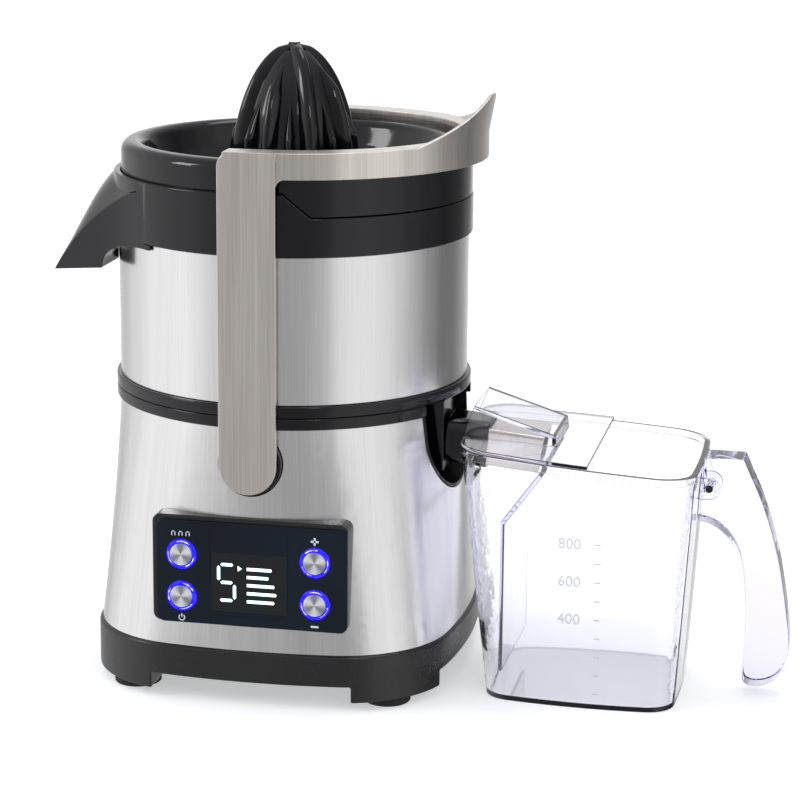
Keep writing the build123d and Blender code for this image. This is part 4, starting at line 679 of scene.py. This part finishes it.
# Name, count, height at which the ribs start, half width, how fast they rise, turn from the first rib.
rib_sets = [("main", 4, reamer_high.z - 0.1, 6.2, 2.0, 0.0), ("middle", 4, 339.0, 5.4, 0.42, pi / 4),
            ("short", 8, 319.0, 3.7, 0.3, pi / 8)]
core_outline = [(0, reamer_low.z), (REAMER_R + 1.5, reamer_low.z), (REAMER_R + 2, reamer_low.z + 0.6),
                (REAMER_R + 2, reamer_low.z + 2.2), (REAMER_R + 1.4, reamer_low.z + 3),
                (core_radius(reamer_low.z + 3), reamer_low.z + 3)]
STEPS = 36
TIP_Z = 346.0  # top of the core, under the meeting point of the four main ribs
for i in range(1, STEPS):
    z = reamer_low.z + 3 + (TIP_Z - reamer_low.z - 3) * (1 - (1 - i / STEPS) ** 1.5)
    core_outline.append((core_radius(z), z))
core_outline.append((0, TIP_Z))
petals = [empty_piece("reamer_core", *turned_mesh(core_outline, 96))]
for label, count, top_z, half_width, rise, offset in rib_sets:
    first = FIRST_RIB + offset
    shape = petal(f"{label}_petal", top_z, half_width, rise)
    petals.append(repeated(ribs_tree, f"{label}_petals", shape, **{"Count": count, "First Angle": first,
                                                                   "Finish": gloss_abs}))
joined = bmesh.new()
for piece in petals:
    joined.from_mesh(piece.data)
    bpy.data.objects.remove(piece)
reamer_mesh = bpy.data.meshes.new("fluted_reamer")
joined.to_mesh(reamer_mesh)
joined.free()
reamer = bpy.data.objects.new("fluted_reamer", reamer_mesh)
scene.collection.objects.link(reamer)
settle(reamer, gloss_abs, "reamer_body", ["reamer"], smooth=50)

# ---------------------------------------------------------------- locking arm
from_cad("locking_arm", "locking_arm_with_lip", 0.45, corner=40)

# ---------------------------------------------------------------- pitcher
pitcher = from_cad("pitcher_body", "pitcher_shell", 0.5, clear_san, corner=50)
from_cad("pitcher_handle", "pitcher_grip", 1.0, handle_san, steps=2, corner=50)
from_cad("froth_separator", "froth_wall", 0.4, clear_san)
from_cad("pitcher_lid", "hooded_lid", 0.4, clear_san, corner=50)
from_cad("handle_pin", "handle_pin_ends", 0.3, satin_abs)

wall = BVHTree.FromPolygons([v.co for v in pitcher.data.vertices],
                            [face.vertices for face in pitcher.data.polygons])


def on_front_wall(mesh, lift_mm):
    """Lays a flat shape (x, depth, z) on the pitcher's front wall, standing off it by its own depth."""
    for vertex in mesh.vertices:
        hit = wall.ray_cast(Vector((vertex.co.x, -1, vertex.co.z)), Vector((0, 1, 0)))[0]
        if hit:
            vertex.co.y = hit.y - lift_mm * MM + vertex.co.y


MARK_HEIGHTS = {"800": 95.0, "600": 73.5, "400": 52.0}
MARK_X = 163.0
MARK_SIZE = 8.4
MARK_HALF_H = 3.0
MARK_DEPTH = 0.25
TICK_STEP = 10.75  # 100 ml
for label, z in MARK_HEIGHTS.items():
    font = bpy.data.curves.new(f"mark_{label}", "FONT")
    font.body = label
    font.size = MARK_SIZE * MM
    font.extrude = MARK_DEPTH * MM
    written = bpy.data.objects.new(f"mark_{label}", font)
    scene.collection.objects.link(written)
    mesh = finished_mesh(written)
    bpy.data.objects.remove(written)
    mesh.transform(facing_front_at(MARK_X, 0, z - MARK_HALF_H))
    on_front_wall(mesh, 0.2)
    mark = bpy.data.objects.new(f"scale_number_{label}", mesh)
    scene.collection.objects.link(mark)
    settle(mark, raised_mark, "pitcher")

tick = empty_piece("tick", *prism(oblong(0, 3.2, -0.35, 0.35), -MARK_DEPTH, MARK_DEPTH))
ladder = repeated(bars_tree, "scale_ticks", tick, Count=9, Step=(0, 0, -TICK_STEP * MM), Shortest=1.0,
                  Longest=1.0, Seed=1, Finish=raised_mark)
ladder.data.transform(Matrix.Translation(Vector((MARK_X + 20, 0, MARK_HEIGHTS["800"])) * MM))
on_front_wall(ladder.data, 0.15)
settle(ladder, raised_mark, "pitcher")

# ---------------------------------------------------------------- studio
FLOOR_R = 9000
FLOOR_SIDES = 64
floor_turns = [FULL_TURN * i / FLOOR_SIDES for i in range(FLOOR_SIDES)]
floor_edge = [(FLOOR_R * cos(turn), FLOOR_R * sin(turn), -0.05) for turn in floor_turns]
floor = empty_piece("studio_floor", floor_edge, [tuple(range(FLOOR_SIDES))])
floor.data.materials.append(studio_floor)
floor.visible_glossy = False  # the sheet metal mirrors the tent's dark and bright sides instead of the floor
floor_shader = studio_floor.node_tree.nodes["Principled BSDF"]
floor_shader.inputs["Emission Color"].default_value = linear("#f6f7f8")
floor_shader.inputs["Emission Strength"].default_value = 0.5

# Soft surround: brightness by direction, seen from the front, as from a light tent with open sides.
CAMERA_AZIMUTH = radians(-76)
SURROUND = [(-180, 1.0), (-150, 0.62), (-127, 0.86), (-100, 1.05), (-75, 1.05), (-52, 0.76), (-34, 0.5),
            (-15, 0.4), (8, 0.42), (18, 0.52), (29, 0.9), (46, 1.0), (64, 0.86), (80, 0.56), (96, 0.32),
            (112, 0.18), (130, 0.2), (148, 0.42), (165, 0.85), (180, 1.0)]
world = bpy.data.worlds.new("light_tent")
scene.world = world
world.use_nodes = True
tree = world.node_tree
tree.nodes.clear()
direction = node(tree, "ShaderNodeTexCoord").outputs["Generated"]
turned = node(tree, "ShaderNodeVectorRotate", {"Vector": direction, "Angle": -CAMERA_AZIMUTH - pi / 2},
              rotation_type="Z_AXIS")
parts = node(tree, "ShaderNodeSeparateXYZ", {"Vector": turned.outputs[0]})
away = node(tree, "ShaderNodeMath", {0: parts.outputs["Y"], 1: -1.0}, operation="MULTIPLY")
azimuth = node(tree, "ShaderNodeMath", {0: parts.outputs["X"], 1: away.outputs[0]}, operation="ARCTAN2")
share = node(tree, "ShaderNodeMapRange", {"Value": azimuth.outputs[0], "From Min": -pi, "From Max": pi})
ramp = node(tree, "ShaderNodeValToRGB", {"Fac": share.outputs[0]})
ramp.color_ramp.interpolation = "EASE"
while len(ramp.color_ramp.elements) < len(SURROUND):
    ramp.color_ramp.elements.new(0.5)
for stop, (angle, value) in zip(ramp.color_ramp.elements, SURROUND):
    stop.position = (angle + 180) / 360
    stop.color = (value, value, value, 1)
overhead = node(tree, "ShaderNodeMapRange", {"Value": parts.outputs["Z"], "From Min": 0.35,
                                             "From Max": 0.8})
soft = node(tree, "ShaderNodeMix", {"Factor": overhead.outputs[0]}, data_type="RGBA")
tree.links.new(ramp.outputs[0], soft.inputs[6])
soft.inputs[7].default_value = (0.72, 0.72, 0.76, 1)
seen = node(tree, "ShaderNodeLightPath")
shown = node(tree, "ShaderNodeMix", {"Factor": seen.outputs["Is Camera Ray"]}, data_type="RGBA")
tree.links.new(soft.outputs[2], shown.inputs[6])
shown.inputs[7].default_value = (0.95, 0.95, 0.96, 1)
glow = node(tree, "ShaderNodeBackground", {"Color": shown.outputs[2], "Strength": 1.0})
node(tree, "ShaderNodeOutputWorld", {"Surface": glow.outputs[0]})

LIT_SPOT = Vector((0.05, 0, 0.15))  # what the softboxes aim at


def softbox(name, place, size, power):
    """A square area light that faces the machine."""
    light = bpy.data.lights.new(name, "AREA")
    light.size = size
    light.energy = power
    box = bpy.data.objects.new(name, light)
    box.location = place
    box.rotation_euler = (LIT_SPOT - Vector(place)).to_track_quat("-Z", "Y").to_euler()
    scene.collection.objects.link(box)


softbox("top_softbox", (0.3, 0.5, 2.0), 0.9, 7)
softbox("left_softbox", (-1.5, -0.7, 1.0), 0.5, 6)
softbox("strip_softbox", (0.75, -1.5, 1.15), 0.22, 1.6)

# ---------------------------------------------------------------- camera
RIGHT = Vector((0.97899, 0.2037, 0.00875))
UP = Vector((-0.05579, 0.22633, 0.97245))
LOOK = Vector((-0.19611, 0.95251, -0.23294))
view = bpy.data.cameras.new("camera")
view.lens = 117.98
view.sensor_width = 36.0
camera = bpy.data.objects.new("camera", view)
axes = Matrix((RIGHT, UP, -LOOK)).transposed().to_4x4()
camera.matrix_world = Matrix.Translation((0.35099, -1.40776, 0.49492)) @ axes
scene.collection.objects.link(camera)
scene.camera = camera
